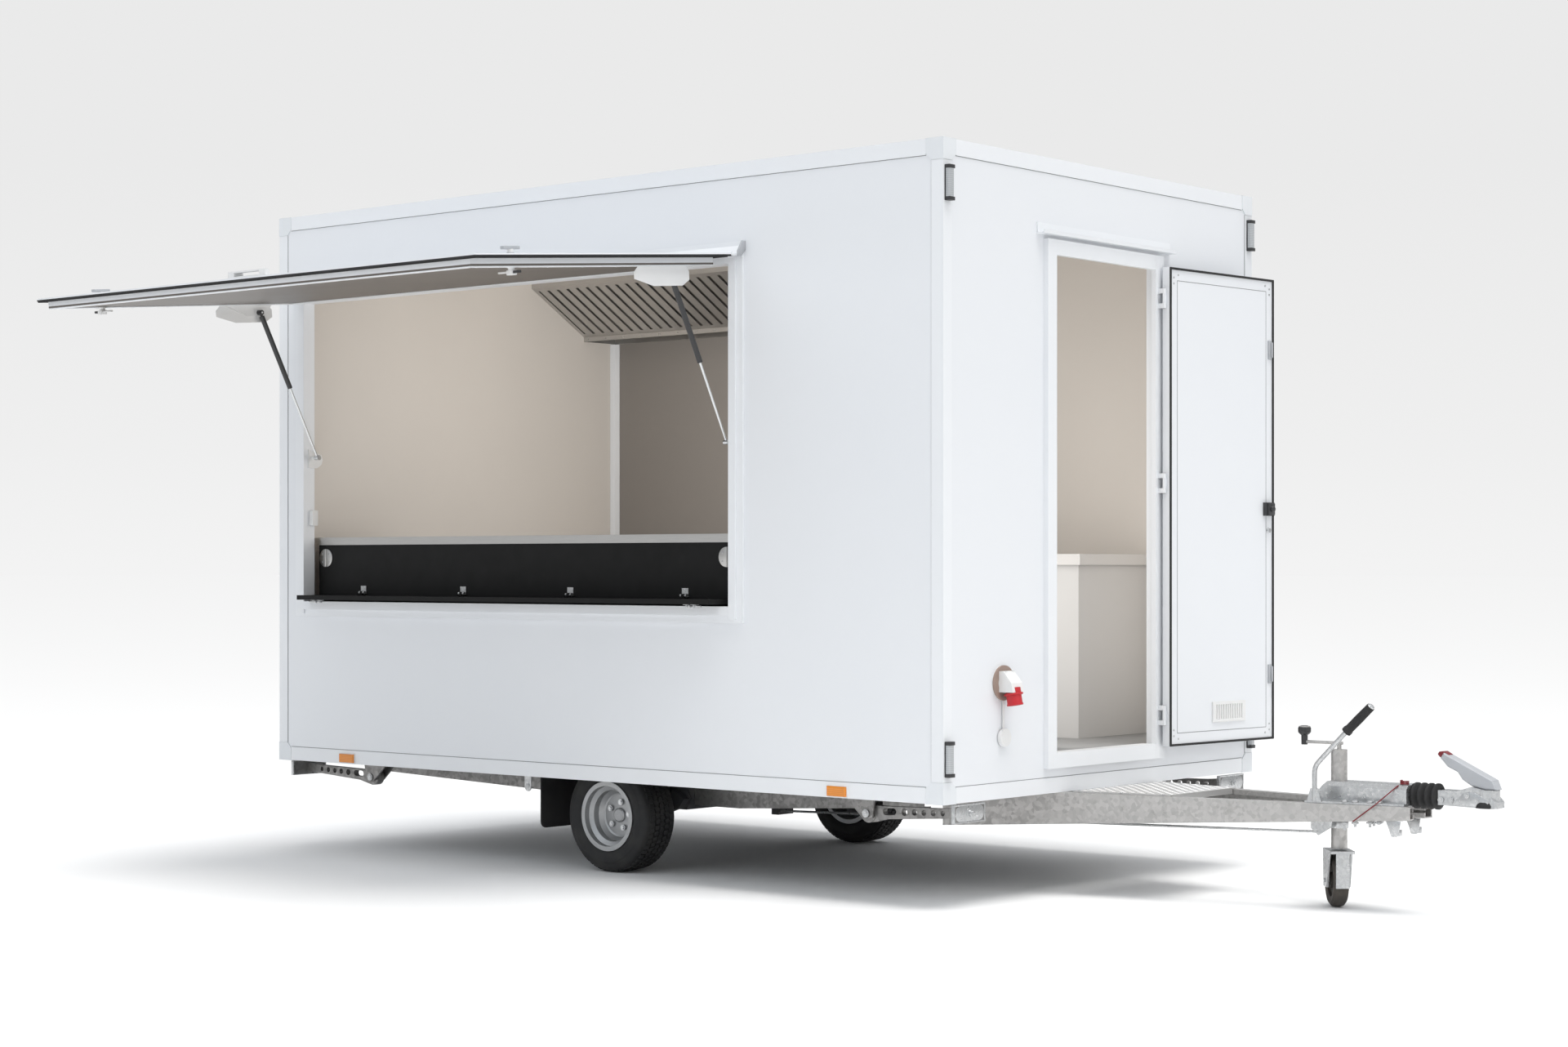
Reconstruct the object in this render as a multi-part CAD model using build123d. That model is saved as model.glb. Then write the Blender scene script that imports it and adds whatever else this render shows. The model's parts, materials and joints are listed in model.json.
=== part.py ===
import os
from math import atan2, cos, degrees, hypot, radians, sin

from build123d import *

os.makedirs("parts", exist_ok=True)

# All lengths in millimetres. Working axes: x forward from the axle, y to the left, z up from the ground.

# box body
box_length = 3750.0
box_width = 2200.0
box_height = 2450.0
box_bottom = 400.0
front_reach = 1900.0
wall = 40.0
roof_thickness = 50.0
floor_thickness = 145.0
well_wall = 12.0
trim = 3.0
rail_leg = 60.0
post_leg = 55.0
cap_leg = 80.0
cap_proud = 1.5
cap_notch = 26.0

# serving hatch, flap, struts and shelf
hatch_back = 1030.0
hatch_rear = 190.0
hatch_sill = 1118.0
hatch_head = 396.0
frame_leg = 65.0
frame_proud = 14.0
frame_step = 9.0
lining = 8.0
flap_overlap = 32.0
flap_low_overlap = 8.0
flap_skin = 12.0
flap_core = 30.0
flap_gap = 6.0
flap_open = 85.0
hinge_bead = 6.5
hinge_shell = 3.5
strut_inset = 44.0
strut_barrel_r = 11.0
strut_barrel_length = 365.0
strut_rod_r = 5.0
strut_rod_length = 372.0
strut_eye_r = 11.0
strut_eye_width = 24.0
strut_pin_r = 4.0
strut_pin_along = 278.0
strut_pin_in = 74.0
strut_foot_in = 20.0
strut_foot_drop = 726.5
shelf_depth = 152.0
shelf_thickness = 20.0
shelf_end_gap = 38.0
worktop_top = 1404.0
worktop_depth = 507.0
back_worktop_top = 1327.0
back_worktop_thickness = 46.0
back_worktop_depth = 577.0
worktop_thickness = 34.0
worktop_sheet = 3.0
hood_sheet = 4.0
hood_length = 1900.0
hood_drop = 387.0
hood_lip = 227.0
hood_lip_height = 22.0
hood_depth = 597.0
hood_face = 147.0
slat_count = 28
board_set_back = 66.0
board_thickness = 18.0

# door in the front wall
door_offset = 709.0
door_width = 706.0
door_sill = 556.0
door_head = 374.0
door_frame_leg = 60.0
door_rebate = 24.0
door_leaf_thickness = 34.0
door_overlap = 12.0
door_gap = 8.0
door_open = 175.5
door_pin_r = 4.0
door_knuckle_r = 7.0

# running gear
tyre_r = 234.0
tyre_width = 195.0
rim_r = 131.0
wheel_inset = 200.0
stub_r = 18.0
arm_length = 165.0
axle_rise = 66.0
axle_hex_r = 54.0

# chassis
member_gap = 97.0
member_web = 46.0
member_deep = 125.0
member_shallow = 70.0
drawbar_length = 1350.0
drawbar_deep = 150.0
drawbar_shallow = 49.0
drawbar_web = 44.0
drawbar_lip = 20.0
drawbar_inset = 683.0
drawbar_tuck = 500.0
drawbar_nose = 66.0
step_reach = 435.0
steady_inset = 165.0
steady_reach = 460.0
steady_drop = 66.0
steady_pin_r = 8.0

# coupling and jack
housing_start = 958.0
housing_end = 1327.0
coupling_end = 1664.0
coupling_z = 438.0
ball_r = 25.2
ball_depth = 26.0
jack_place = 1020.0
jack_tube_r = 30.0
jack_stem_r = 24.0
jack_wheel_r = 100.0
jack_wheel_width = 58.0
jack_trail = 45.0
jack_turn = 130.0
brake_place = 995.0
brake_bar_r = 9.0
brake_grip_r = 15.0

# lamps and power inlet
lamp_end_gap = 104.0
lamp_height = 124.0
marker_front = 497.0
marker_rear = 465.0
marker_length = 92.0
tail_lamp_inset = 220.0
inlet_offset = 375.0
inlet_z = 836.0
inlet_cap_drop = 206.0
inlet_lean = 10.0
inlet_reach = 46.0

# clearances
slip = 0.3
run = 0.4

front = front_reach
rear = front_reach - box_length
side = box_width / 2
bottom = box_bottom
top = box_bottom + box_height
skin_front, skin_rear, skin_side = front - trim, rear + trim, side - trim
skin_top, skin_bottom = top - trim, bottom + trim
hatch_x0, hatch_x1 = rear + hatch_rear, front - hatch_back
hatch_z0, hatch_z1 = hatch_sill, top - hatch_head
hatch_width = hatch_x1 - hatch_x0
door_y0 = -side + door_offset
door_y1 = door_y0 + door_width
door_z0, door_z1 = door_sill, top - door_head
door_height = door_z1 - door_z0
room_side = skin_side - wall
room_front, room_rear = skin_front - wall, skin_rear + wall
room_floor = skin_bottom + floor_thickness
room_top = skin_top - roof_thickness
wheel_y = side - wheel_inset - tyre_width / 2
member_y = wheel_y - tyre_width / 2 - member_gap - member_web / 2
drawbar_root = front - drawbar_tuck
drawbar_spread = side - drawbar_inset

parts = {}


def block(x0, x1, y0, y1, z0, z1):
    return Pos((x0 + x1) / 2, (y0 + y1) / 2, (z0 + z1) / 2) * Box(x1 - x0, y1 - y0, z1 - z0)


def round_bar(start, end, radius):
    a, b = Vector(*start), Vector(*end)
    base = Plane(origin=a, z_dir=b - a)
    return base * Cylinder(radius, (b - a).length, align=(Align.CENTER, Align.CENTER, Align.MIN))


def side_plate(points, y0, y1):
    plane = Plane(origin=(0, y1, 0), x_dir=(1, 0, 0), z_dir=(0, -1, 0))
    return extrude(plane * Polygon(*points, align=None), y1 - y0, dir=plane.z_dir)


def cross_plate(points, x0, x1):
    plane = Plane(origin=(x0, 0, 0), x_dir=(0, 1, 0), z_dir=(1, 0, 0))
    return extrude(plane * Polygon(*points, align=None), x1 - x0, dir=plane.z_dir)


def floor_plate(points, z0, z1):
    return extrude(Plane.XY.offset(z0) * Polygon(*points, align=None), z1 - z0, dir=(0, 0, 1))


def turned(points, place):
    return place * revolve(Polygon(*points, align=None), Axis.Y)


def flipped(shape):
    return mirror(shape, about=Plane.XZ)


def group(shapes):
    return Compound(children=list(shapes))


def add(name, shape):
    parts[name] = shape


def make_panels():
    well_y0 = side - wheel_inset - tyre_width - 25
    well_y1 = side - wheel_inset + 25
    well_x = tyre_r + 50
    floor = block(room_rear, room_front, -room_side, room_side, skin_bottom, room_floor)
    wells = []
    for way in (-1, 1):
        y0, y1 = sorted((way * well_y0, way * well_y1))
        wide = well_wall + slip
        floor -= block(-well_x - wide, well_x + wide, y0 - wide, y1 + wide, skin_bottom - 1, room_floor + 1)
        shell = block(-well_x - well_wall, well_x + well_wall, y0 - well_wall, y1 + well_wall,
                      skin_bottom, room_floor)
        shell -= block(-well_x, well_x, y0, y1, skin_bottom - 1, room_floor - well_wall)
        wells.append(shell)
    add("floor_panel", floor)
    add("wheel_boxes", group(wells))
    add("roof_panel", block(skin_rear, skin_front, -skin_side, skin_side, room_top, skin_top))
    left = block(skin_rear, skin_front, room_side, skin_side, skin_bottom, room_top)
    add("left_wall", left)
    hole = block(hatch_x0 - lining, hatch_x1 + lining, -side - 1, -room_side + 1, hatch_z0 - lining,
                 hatch_z1 + lining)
    add("right_wall", flipped(left) - hole)
    rear_wall = block(skin_rear, room_rear, -room_side, room_side, skin_bottom, room_top)
    add("rear_wall", rear_wall)
    back = door_rebate + lining
    doorway = block(room_front - 1, front, door_y0 - back, door_y1 + back, door_z0 - lining, door_z1 + back)
    add("front_wall", block(room_front, skin_front, -room_side, room_side, skin_bottom, room_top) - doorway)


def make_edges():
    posts, rails, caps = [], [], []
    for wx in (-1, 1):
        cx = front if wx > 0 else rear
        for wy in (-1, 1):
            corner = Pos(cx, wy * side, 0)
            z0, z1 = bottom + cap_leg + slip, top - cap_leg - slip
            tall = z1 - z0
            leg_a = Pos(-wx * post_leg / 2, -wy * trim / 2, (z0 + z1) / 2) * Box(post_leg, trim, tall)
            leg_b = Pos(-wx * trim / 2, -wy * post_leg / 2, (z0 + z1) / 2) * Box(trim, post_leg, tall)
            posts.append(corner * (leg_a + leg_b))
            for cz, wz in ((bottom, -1), (top, 1)):
                near, far, cut = -cap_proud, cap_leg, cap_leg - cap_notch
                outline = [(near, near), (far, near), (far, cut), (cut, far), (near, far)]
                cap = side_plate([(cx - wx * a, cz - wz * b) for a, b in outline],
                                 *sorted((wy * (side + cap_proud), wy * (side - trim))))
                cap += cross_plate([(wy * (side - a), cz - wz * b) for a, b in outline],
                                   *sorted((cx + wx * cap_proud, cx - wx * trim)))
                cap += floor_plate([(cx - wx * a, wy * (side - b)) for a, b in outline],
                                   *sorted((cz + wz * cap_proud, cz - wz * trim)))
                caps.append(cap)
        for cz, wz in ((bottom, -1), (top, 1)):
            long = box_width - 2 * cap_leg - 2 * slip
            upright = Pos(cx - wx * trim / 2, 0, cz - wz * rail_leg / 2) * Box(trim, long, rail_leg)
            flat = Pos(cx - wx * rail_leg / 2, 0, cz - wz * trim / 2) * Box(rail_leg, long, trim)
            rails.append(upright + flat)
    for wy in (-1, 1):
        for cz, wz in ((bottom, -1), (top, 1)):
            x0, x1 = rear + cap_leg + slip, front - cap_leg - slip
            mid, long = (x0 + x1) / 2, x1 - x0
            upright = Pos(mid, wy * (side - trim / 2), cz - wz * rail_leg / 2) * Box(long, trim, rail_leg)
            flat = Pos(mid, wy * (side - rail_leg / 2), cz - wz * trim / 2) * Box(long, rail_leg, trim)
            rails.append(upright + flat)
    add("corner_posts", group(posts))
    add("edge_rails", group(rails))
    add("corner_caps", group(caps))


flap_axis_y = -skin_side - frame_proud - frame_step - flap_gap - flap_skin / 2
flap_axis_z = hatch_z1 + frame_leg / 2 + 2
strut_x = (hatch_x1 - strut_inset, hatch_x0 + strut_inset)


def flap_turn(angle):
    pivot = Pos(0, flap_axis_y, flap_axis_z)
    return pivot * Rot(X=-angle) * Pos(0, -flap_axis_y, -flap_axis_z)


def make_hatch_frame():
    bars = []
    outer_z0, outer_z1 = hatch_z0 - frame_leg, hatch_z1 + frame_leg
    y_face = -skin_side - frame_proud
    y_step = y_face - frame_step
    for way, edge in ((-1, hatch_x0), (1, hatch_x1)):
        x0, x1 = sorted((edge, edge + way * frame_leg))
        bar = block(x0, x1, y_face, -skin_side, outer_z0, outer_z1)
        s0, s1 = sorted((edge, edge + way * frame_leg * 0.55))
        bar += block(s0, s1, y_step, y_face, outer_z0 + 12, hatch_z1 + frame_leg * 0.55)
        l0, l1 = sorted((edge, edge + way * lining))
        bar += block(l0, l1, -skin_side, -room_side, hatch_z0 - lining, hatch_z1 + lining)
        bars.append(bar)
    for way, edge in ((-1, hatch_z0), (1, hatch_z1)):
        z0, z1 = sorted((edge, edge + way * frame_leg))
        bar = block(hatch_x0 + slip, hatch_x1 - slip, y_face, -skin_side, z0, z1)
        s0, s1 = sorted((edge, edge + way * frame_leg * 0.55))
        bar += block(hatch_x0 + slip, hatch_x1 - slip, y_step, y_face, s0, s1)
        l0, l1 = sorted((edge, edge + way * lining))
        bar += block(hatch_x0 + slip, hatch_x1 - slip, -skin_side, -room_side, l0, l1)
        bars.append(bar)
    add("hatch_frame", group(bars))


def strut_points():
    """Upper pin and lower eye of a strut in the flap plane, open and closed."""
    closed = (flap_axis_y + strut_pin_in, flap_axis_z - strut_pin_along)
    a = radians(flap_open)
    dy, dz = strut_pin_in, -strut_pin_along
    opened = (flap_axis_y + dy * cos(a) + dz * sin(a), flap_axis_z + dz * cos(a) - dy * sin(a))
    foot = (-skin_side + strut_foot_in, flap_axis_z - strut_foot_drop)
    return opened, closed, foot


def make_hinge_rail():
    x0, x1 = hatch_x0 - frame_leg, hatch_x1 + frame_leg
    y, z = flap_axis_y, flap_axis_z
    bead = round_bar((x0, y, z), (x1, y, z), hinge_bead)
    back = -skin_side - frame_proud
    web = cross_plate([(y, z + 3), (y + 5, z + 1), (back, z + 26), (back, z + 40), (y + 10, z + 22)], x0,
                      x1)
    web += block(x0, x1, back, -skin_side, hatch_z1 + frame_leg + slip, hatch_z1 + frame_leg + 20)
    web += block(x0, x1, back - 4, back, z + 24, hatch_z1 + frame_leg + 20)
    add("hinge_rail", bead + web)


def make_flap():
    x0, x1 = hatch_x0 - flap_overlap, hatch_x1 + flap_overlap
    z0 = hatch_z0 - flap_low_overlap
    y_in = -skin_side - frame_proud - frame_step - flap_gap
    y_out = y_in - flap_skin
    shell_r = hinge_bead + run + hinge_shell
    skin = block(x0, x1, y_out, y_in, z0, flap_axis_z - shell_r - 2)
    knuckle = round_bar((x0, flap_axis_y, flap_axis_z), (x1, flap_axis_y, flap_axis_z), shell_r)
    knuckle += block(x0, x1, y_out, y_in, flap_axis_z - shell_r - 3, flap_axis_z - hinge_bead)
    bore_r = hinge_bead + run
    knuckle -= round_bar((x0 - 1, flap_axis_y, flap_axis_z), (x1 + 1, flap_axis_y, flap_axis_z), bore_r)
    far = 60
    angles = (8, 60, 100, 140, 168)
    wedge = [(flap_axis_y, flap_axis_z)]
    wedge += [(flap_axis_y + far * cos(radians(a)), flap_axis_z + far * sin(radians(a))) for a in angles]
    knuckle -= cross_plate(wedge, x0 - 1, x1 + 1)
    core_gap = 14
    face = y_in + flap_core
    core = block(hatch_x0 + core_gap, hatch_x1 - core_gap, y_in, face,
                 hatch_z0 + core_gap, hatch_z1 - 2 * core_gap)
    add("flap_panel", flap_turn(flap_open) * (skin + knuckle + core))
    fittings = []
    closed = strut_points()[1]
    for way, x in ((1, strut_x[0]), (-1, strut_x[1])):
        p0 = x + way * (strut_eye_width / 2 + slip)
        a, b = sorted((p0, p0 + way * 6))
        top_z, low_z = closed[1] + 80, closed[1] - 190
        ear = cross_plate(
            [(face, top_z), (closed[0] + 8, closed[1] + 40), (closed[0] + 14, closed[1]),
             (closed[0] + 14, closed[1] - 60), (face, low_z)], a, b)
        pin = round_bar((x - way * (strut_eye_width / 2 + 3), *closed), (p0 + way * 3, *closed),
                        strut_pin_r)
        fittings.append(ear + pin)
    for x, z in ((hatch_x1 - 20 - flap_overlap, hatch_z0 + 250),
                 (hatch_x0 + 20 + flap_overlap, hatch_z0 + 250)):
        grip = round_bar((x, y_out, z), (x, y_out - 20, z), 11)
        fittings.append(grip + block(x - 8, x + 8, y_out - 30, y_out - 20, z - 40, z + 40))
    mid = (hatch_x0 + hatch_x1) / 2
    handle = side_plate([(mid - 110, z0 + 40), (mid + 110, z0 + 40), (mid + 80, z0 + 85),
                         (mid - 80, z0 + 85)], y_out - 28, y_out)
    handle -= block(mid - 75, mid + 75, y_out - 22, y_out - 8, z0 + 30, z0 + 100)
    fittings.append(handle)
    add("flap_fittings", flap_turn(flap_open) * group(fittings))


def make_struts():
    opened, closed, foot = strut_points()
    span = hypot(foot[0] - opened[0], foot[1] - opened[1])
    dy, dz = (foot[0] - opened[0]) / span, (foot[1] - opened[1]) / span

    def at(x, along):
        return (x, opened[0] + dy * along, opened[1] + dz * along)

    half = strut_eye_width / 2
    studs = []
    for name, x, way in (("right", strut_x[0], 1), ("left", strut_x[1], -1)):
        barrel = round_bar(at(x, 18), at(x, strut_barrel_length), strut_barrel_r)
        barrel += round_bar((x - half, *opened), (x + half, *opened), strut_eye_r)
        barrel += round_bar(at(x, 0), at(x, 20), 6)
        barrel -= round_bar((x - half - 1, *opened), (x + half + 1, *opened), strut_pin_r + run)
        barrel -= round_bar(at(x, 34), at(x, strut_barrel_length + 1), strut_rod_r + run)
        add("strut_barrel_" + name, barrel)
        rod = round_bar(at(x, span - strut_rod_length), at(x, span - 4), strut_rod_r)
        rod += round_bar((x - half, *foot), (x + half, *foot), strut_eye_r)
        rod -= round_bar((x - half - 1, *foot), (x + half + 1, *foot), strut_pin_r + run)
        add("strut_rod_" + name, rod)
        jamb = hatch_x1 if way > 0 else hatch_x0
        stud = round_bar((jamb, *foot), (x + way * (half + slip), *foot), strut_pin_r + 4)
        p0, p1 = sorted((jamb, jamb - way * 6))
        stud += block(p0, p1, foot[0] - 16, foot[0] + 16, foot[1] - 45, foot[1] + 25)
        studs.append(stud)
    add("strut_studs", group(studs))


board_face = -skin_side + board_set_back
shelf_axis_y = board_face - 11
shelf_axis_z = hatch_z0 + 8 + shelf_thickness + 12
shelf_hinge_places = [hatch_x1 - hatch_width * f for f in (0.12, 0.373, 0.627, 0.88)]


def make_serving():
    x0, x1 = hatch_x0 + 2, hatch_x1 - 2
    edge, inner = board_face + 24, board_face + 24 + worktop_depth
    low, under = worktop_top - worktop_thickness, worktop_top - worktop_sheet
    x2, x3, t = room_rear + 60, hatch_x1 + 40, worktop_sheet
    slab = block(x2, x3, edge, inner, low, worktop_top)
    slab -= block(x2 + t, x3 - t, edge + t, inner - t, low - 1, under)
    slab += block(x0, x1, board_face - 6, edge + 1, low, worktop_top)
    back_y, back_x, back_under = room_side - back_worktop_depth, room_front - 420, back_worktop_top - t
    back_low = back_worktop_top - back_worktop_thickness
    back = block(x2, back_x, back_y, room_side, back_low, back_worktop_top)
    back -= block(x2 + t, back_x - t, back_y + t, room_side - t, back_low - 1, back_under)
    add("worktops", group([slab, back]))
    front_panel = block(x2 + 20, x3 - 20, inner - 40, inner - 22, room_floor, under)
    back_panel = block(x2 + 20, back_x - 20, back_y + 20, back_y + 38, room_floor, back_under)
    back_end = block(back_x - 38, back_x - 20, back_y + 38 + slip, room_side - t - slip, room_floor,
                     back_under)
    add("cabinets", group([front_panel, back_panel, back_end]))
    board = block(x0, x1, board_face, board_face + board_thickness, hatch_z0 - 10, low)
    add("counter_front", board)
    leaves = []
    for x in shelf_hinge_places:
        leaf = block(x - 17, x + 17, board_face - 3, board_face, shelf_axis_z - 6, shelf_axis_z + 30)
        for way in (-1, 1):
            ear = round_bar((x + way * 17, shelf_axis_y, shelf_axis_z),
                            (x + way * 9, shelf_axis_y, shelf_axis_z), 7)
            a, b = sorted((x + way * 17, x + way * 9))
            leaf += ear + block(a, b, shelf_axis_y, board_face, shelf_axis_z - 5, shelf_axis_z + 5)
        leaf += round_bar((x - 12, shelf_axis_y, shelf_axis_z), (x + 12, shelf_axis_y, shelf_axis_z), 3)
        leaves.append(leaf)
    add("shelf_hinges", group(leaves))
    s_top = shelf_axis_z - 12
    shelf = block(
        hatch_x0 + shelf_end_gap, hatch_x1 - shelf_end_gap,
        shelf_axis_y + 2 - shelf_depth, shelf_axis_y + 2, s_top - shelf_thickness, s_top)
    for x in shelf_hinge_places:
        tube = round_bar((x - 8, shelf_axis_y, shelf_axis_z), (x + 8, shelf_axis_y, shelf_axis_z), 7)
        tube += block(x - 8, x + 8, shelf_axis_y - 7, shelf_axis_y + 2, s_top - 1, shelf_axis_z)
        tube += block(x - 14, x + 14, shelf_axis_y - 40, shelf_axis_y - 6, s_top - 1, s_top + 3)
        tube += block(x - 8, x + 8, shelf_axis_y - 20, shelf_axis_y - 4, s_top - 1, s_top + 5)
        shelf += tube - round_bar((x - 9, shelf_axis_y, shelf_axis_z), (x + 9, shelf_axis_y, shelf_axis_z),
                                  3 + run)
    add("serving_shelf", shelf)


def make_hood():
    x0, x1 = room_rear + slip, room_rear + hood_length
    low, rise = room_top - hood_drop, room_top - hood_face
    lip_y, rise_y, lip_z = room_side - hood_lip, room_side - hood_depth, low + hood_lip_height
    points = [(room_side, low), (lip_y, low), (lip_y, lip_z), (rise_y, rise), (rise_y, room_top),
              (room_side, room_top)]
    hood = cross_plate(points, x0, x1)
    t = hood_sheet
    inner = [(room_side - t, low - 1), (lip_y + t, low - 1), (lip_y + t, lip_z + t), (rise_y + t, rise + t),
             (rise_y + t, room_top - t), (room_side - t, room_top - t)]
    hood -= cross_plate(inner, x0 + t, x1 - t)
    slope = atan2(rise - lip_z, rise_y - lip_y)
    span = hypot(rise - lip_z, rise_y - lip_y)
    bank = Pos(0, lip_y, lip_z) * Rot(X=degrees(slope)) * Pos(0, span / 2, 0)
    border = 26.0
    length, depth = x1 - x0 - 2 * border, span - 2 * border
    hood -= bank * Pos((x0 + x1) / 2, 0, 0) * Box(length, depth, 4 * t)
    pitch = length / slat_count
    for i in range(slat_count):
        x = x0 + border + pitch * (i + 0.5)
        hood += bank * Pos(x, 0, -t / 2) * Box(pitch * 0.72, depth + 8, t - 1)
        hood += bank * Pos(x - pitch * 0.36 + 1.5, 0, -8) * Box(3, depth + 8, 14)
    add("extraction_hood", hood)


door_axis_x = front + door_gap + 20 + door_leaf_thickness / 2
door_axis_y = door_y1 + door_overlap + 8


def door_turn(angle):
    return Pos(door_axis_x, door_axis_y, 0) * Rot(Z=angle) * Pos(-door_axis_x, -door_axis_y, 0)


door_hinge_z = [door_z0 + door_height * f for f in (0.06, 0.55, 0.94)]


def make_door():
    proud = 18.0
    bars = []
    z0, z1 = door_z0 - door_frame_leg, door_z1 + door_frame_leg
    for way, edge in ((-1, door_y0), (1, door_y1)):
        y0, y1 = sorted((edge, edge + way * door_frame_leg))
        bar = block(skin_front, front + proud, y0, y1, z0, z1)
        jamb = edge + way * door_rebate
        l0, l1 = sorted((jamb, jamb + way * lining))
        bar += block(room_front, skin_front, l0, l1, door_z0 - lining, door_z1 + door_rebate + lining)
        if way > 0:
            for z in door_hinge_z:
                bar += block(front + proud - 1, door_axis_x, door_axis_y - 5, door_axis_y + 5, z - 40,
                             z + 40)
                bar += Pos(door_axis_x, door_axis_y, z) * Cylinder(door_knuckle_r, 80)
                bar -= block(front + proud, door_axis_x + 20, door_axis_y - 20, door_axis_y + 20,
                             z - 20 - slip, z + 20 + slip)
                bar += Pos(door_axis_x, door_axis_y, z) * Cylinder(door_pin_r, 60)
        bars.append(bar)
    for way, edge in ((-1, door_z0), (1, door_z1)):
        a, b = sorted((edge, edge + way * door_frame_leg))
        bar = block(skin_front, front + proud, door_y0 + slip, door_y1 - slip, a, b)
        inner = edge + door_rebate if way > 0 else edge
        l0, l1 = sorted((inner, inner + way * lining))
        bar += block(room_front, skin_front, door_y0 + slip, door_y1 - slip, l0, l1)
        bars.append(bar)
    add("door_frame", group(bars))
    g0, g1, gz = door_y0 - 110, door_y1 + 130, z1 + 14
    gutter = [(skin_front, gz), (front + 34, gz), (front + 40, gz + 14), (front + 34, gz + 14),
              (front + 30, gz + 5), (front + 6, gz + 5), (front + 3, gz + 44), (skin_front, gz + 44)]
    add("door_gutter", side_plate(gutter, g0, g1))
    x_in = front + proud + door_gap
    leaf = block(
        x_in, x_in + door_leaf_thickness, door_y0 - door_overlap, door_y1 + door_overlap,
        door_z0 - door_overlap, door_z1 + door_overlap)
    for z in door_hinge_z:
        leaf += Pos(door_axis_x, door_axis_y, z) * Cylinder(door_knuckle_r, 40)
        leaf += block(door_axis_x - 5, door_axis_x + 5, door_axis_y - 16, door_axis_y, z - 20, z + 20)
        leaf -= Pos(door_axis_x, door_axis_y, z) * Cylinder(door_pin_r + run, 42)
    add("door_leaf", door_turn(door_open) * leaf)
    fittings = []
    mid_z = door_z0 + door_height * 0.5
    free = door_y0 - door_overlap
    fittings.append(block(x_in - 20, x_in, door_y0 + 6, door_y0 + 62, mid_z - 28, mid_z + 28))
    vent_y = (door_y0 + door_y1) / 2 - 41
    vent = block(x_in - 6, x_in, vent_y - 115, vent_y + 115, door_z0 + 75, door_z0 + 160)
    for i in range(12):
        y = vent_y - 88 + 16 * i
        vent -= block(x_in - 7, x_in - 2, y - 4, y + 4, door_z0 + 87, door_z0 + 148)
    fittings.append(vent)
    out = x_in + door_leaf_thickness
    fittings.append(block(out, out + 20, free + 20, free + 60, mid_z - 90, mid_z + 90))
    add("door_fittings", door_turn(door_open) * group(fittings))


def make_fixtures():
    y, z = -side + inlet_offset, inlet_z
    flange = round_bar((skin_front, y, z), (front + 8, y, z), 66)
    body = side_plate([(front + 7, z - 34), (front + 7, z + 45), (front + 28, z + 45), (front + 64, z + 2),
                       (front + 72, z - 34)], y - 36, y + 36)
    hood = flange + body
    aim = Vector(sin(radians(inlet_lean)), 0, -cos(radians(inlet_lean)))
    start = Vector(front + inlet_reach, y, z - 18)
    socket = round_bar(tuple(start), tuple(start + aim * 66), 29)
    socket -= round_bar(tuple(start + aim * 36), tuple(start + aim * 67), 24)
    hood -= round_bar(tuple(start - aim * 0.1), tuple(start + aim * 60), 29 + slip)
    cap_z = z - inlet_cap_drop
    cap = round_bar((front + 1, y, cap_z), (front + 15, y, cap_z), 34)
    cap += block(front + 1, front + 4, y - 5, y + 5, cap_z, z - 62)
    add("power_inlet", hood + cap)
    add("inlet_socket", socket)
    lamps = []
    for wy in (-1, 1):
        for z0 in (top - lamp_end_gap - lamp_height, bottom + lamp_end_gap):
            yy = wy * (side - 26)
            lamp = block(front, front + 22, yy - 16, yy + 16, z0, z0 + lamp_height)
            lamps.append(chamfer(lamp.edges().group_by(Axis.X)[-1], 6))
    add("front_markers", group(lamps))
    amber = []
    for wy in (-1, 1):
        for x in (front - marker_front, rear + marker_rear):
            y0, y1 = sorted((wy * side, wy * (side + 14)))
            lamp = block(x - marker_length / 2, x + marker_length / 2, y0, y1, bottom + 6, bottom + 44)
            amber.append(chamfer(lamp.edges().group_by(Axis.Y)[0 if wy < 0 else -1], 4))
    add("side_markers", group(amber))
    tails = []
    for wy in (-1, 1):
        yy = wy * (side - tail_lamp_inset)
        lamp = block(rear - 45, rear, yy - 110, yy + 110, bottom + 5, bottom + 58)
        tails.append(fillet(lamp.edges().group_by(Axis.X)[0], 8))
    add("tail_lamps", group(tails))


def make_wheels():
    half = tyre_width / 2
    tyre = [(rim_r + slip, -half + 12), (rim_r + 15, -half + 12), (rim_r + 34, -half + 1),
            (rim_r + 66, -half), (tyre_r - 12, -half + 8), (tyre_r, -half + 28)]
    tyre += [(r, -w) for r, w in reversed(tyre)]
    lip, seat, well, face = half - 6, rim_r - 5, rim_r - 24, -9
    rim = [(rim_r + 14, -lip), (rim_r + 14, -lip + 5.5), (rim_r, -lip + 5.5), (rim_r, -66), (well + 5, -57),
           (well + 5, -24), (rim_r, -14), (rim_r, lip - 5.5), (rim_r + 14, lip - 5.5), (rim_r + 14, lip),
           (seat, lip), (seat, face), (well + 1, -19), (100, -15), (90, -6), (84, face + 6), (70, face + 6),
           (70, 40), (stub_r + run, 40), (stub_r + run, face + 1), (0, face + 1), (0, face - 11),
           (24, face - 11), (30, face - 7), (30, face), (84, face), (91, -12), (100, -21), (well, -28),
           (well, -56), (seat, -66), (seat, -lip)]
    for name, way in (("right", -1), ("left", 1)):
        place = Pos(0, way * wheel_y, tyre_r)
        spin = Rot(Z=0) if way < 0 else Rot(Z=180)
        add("tyre_" + name, turned(tyre, place * spin))
        add("rim_" + name, turned(rim, place * spin))


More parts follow.
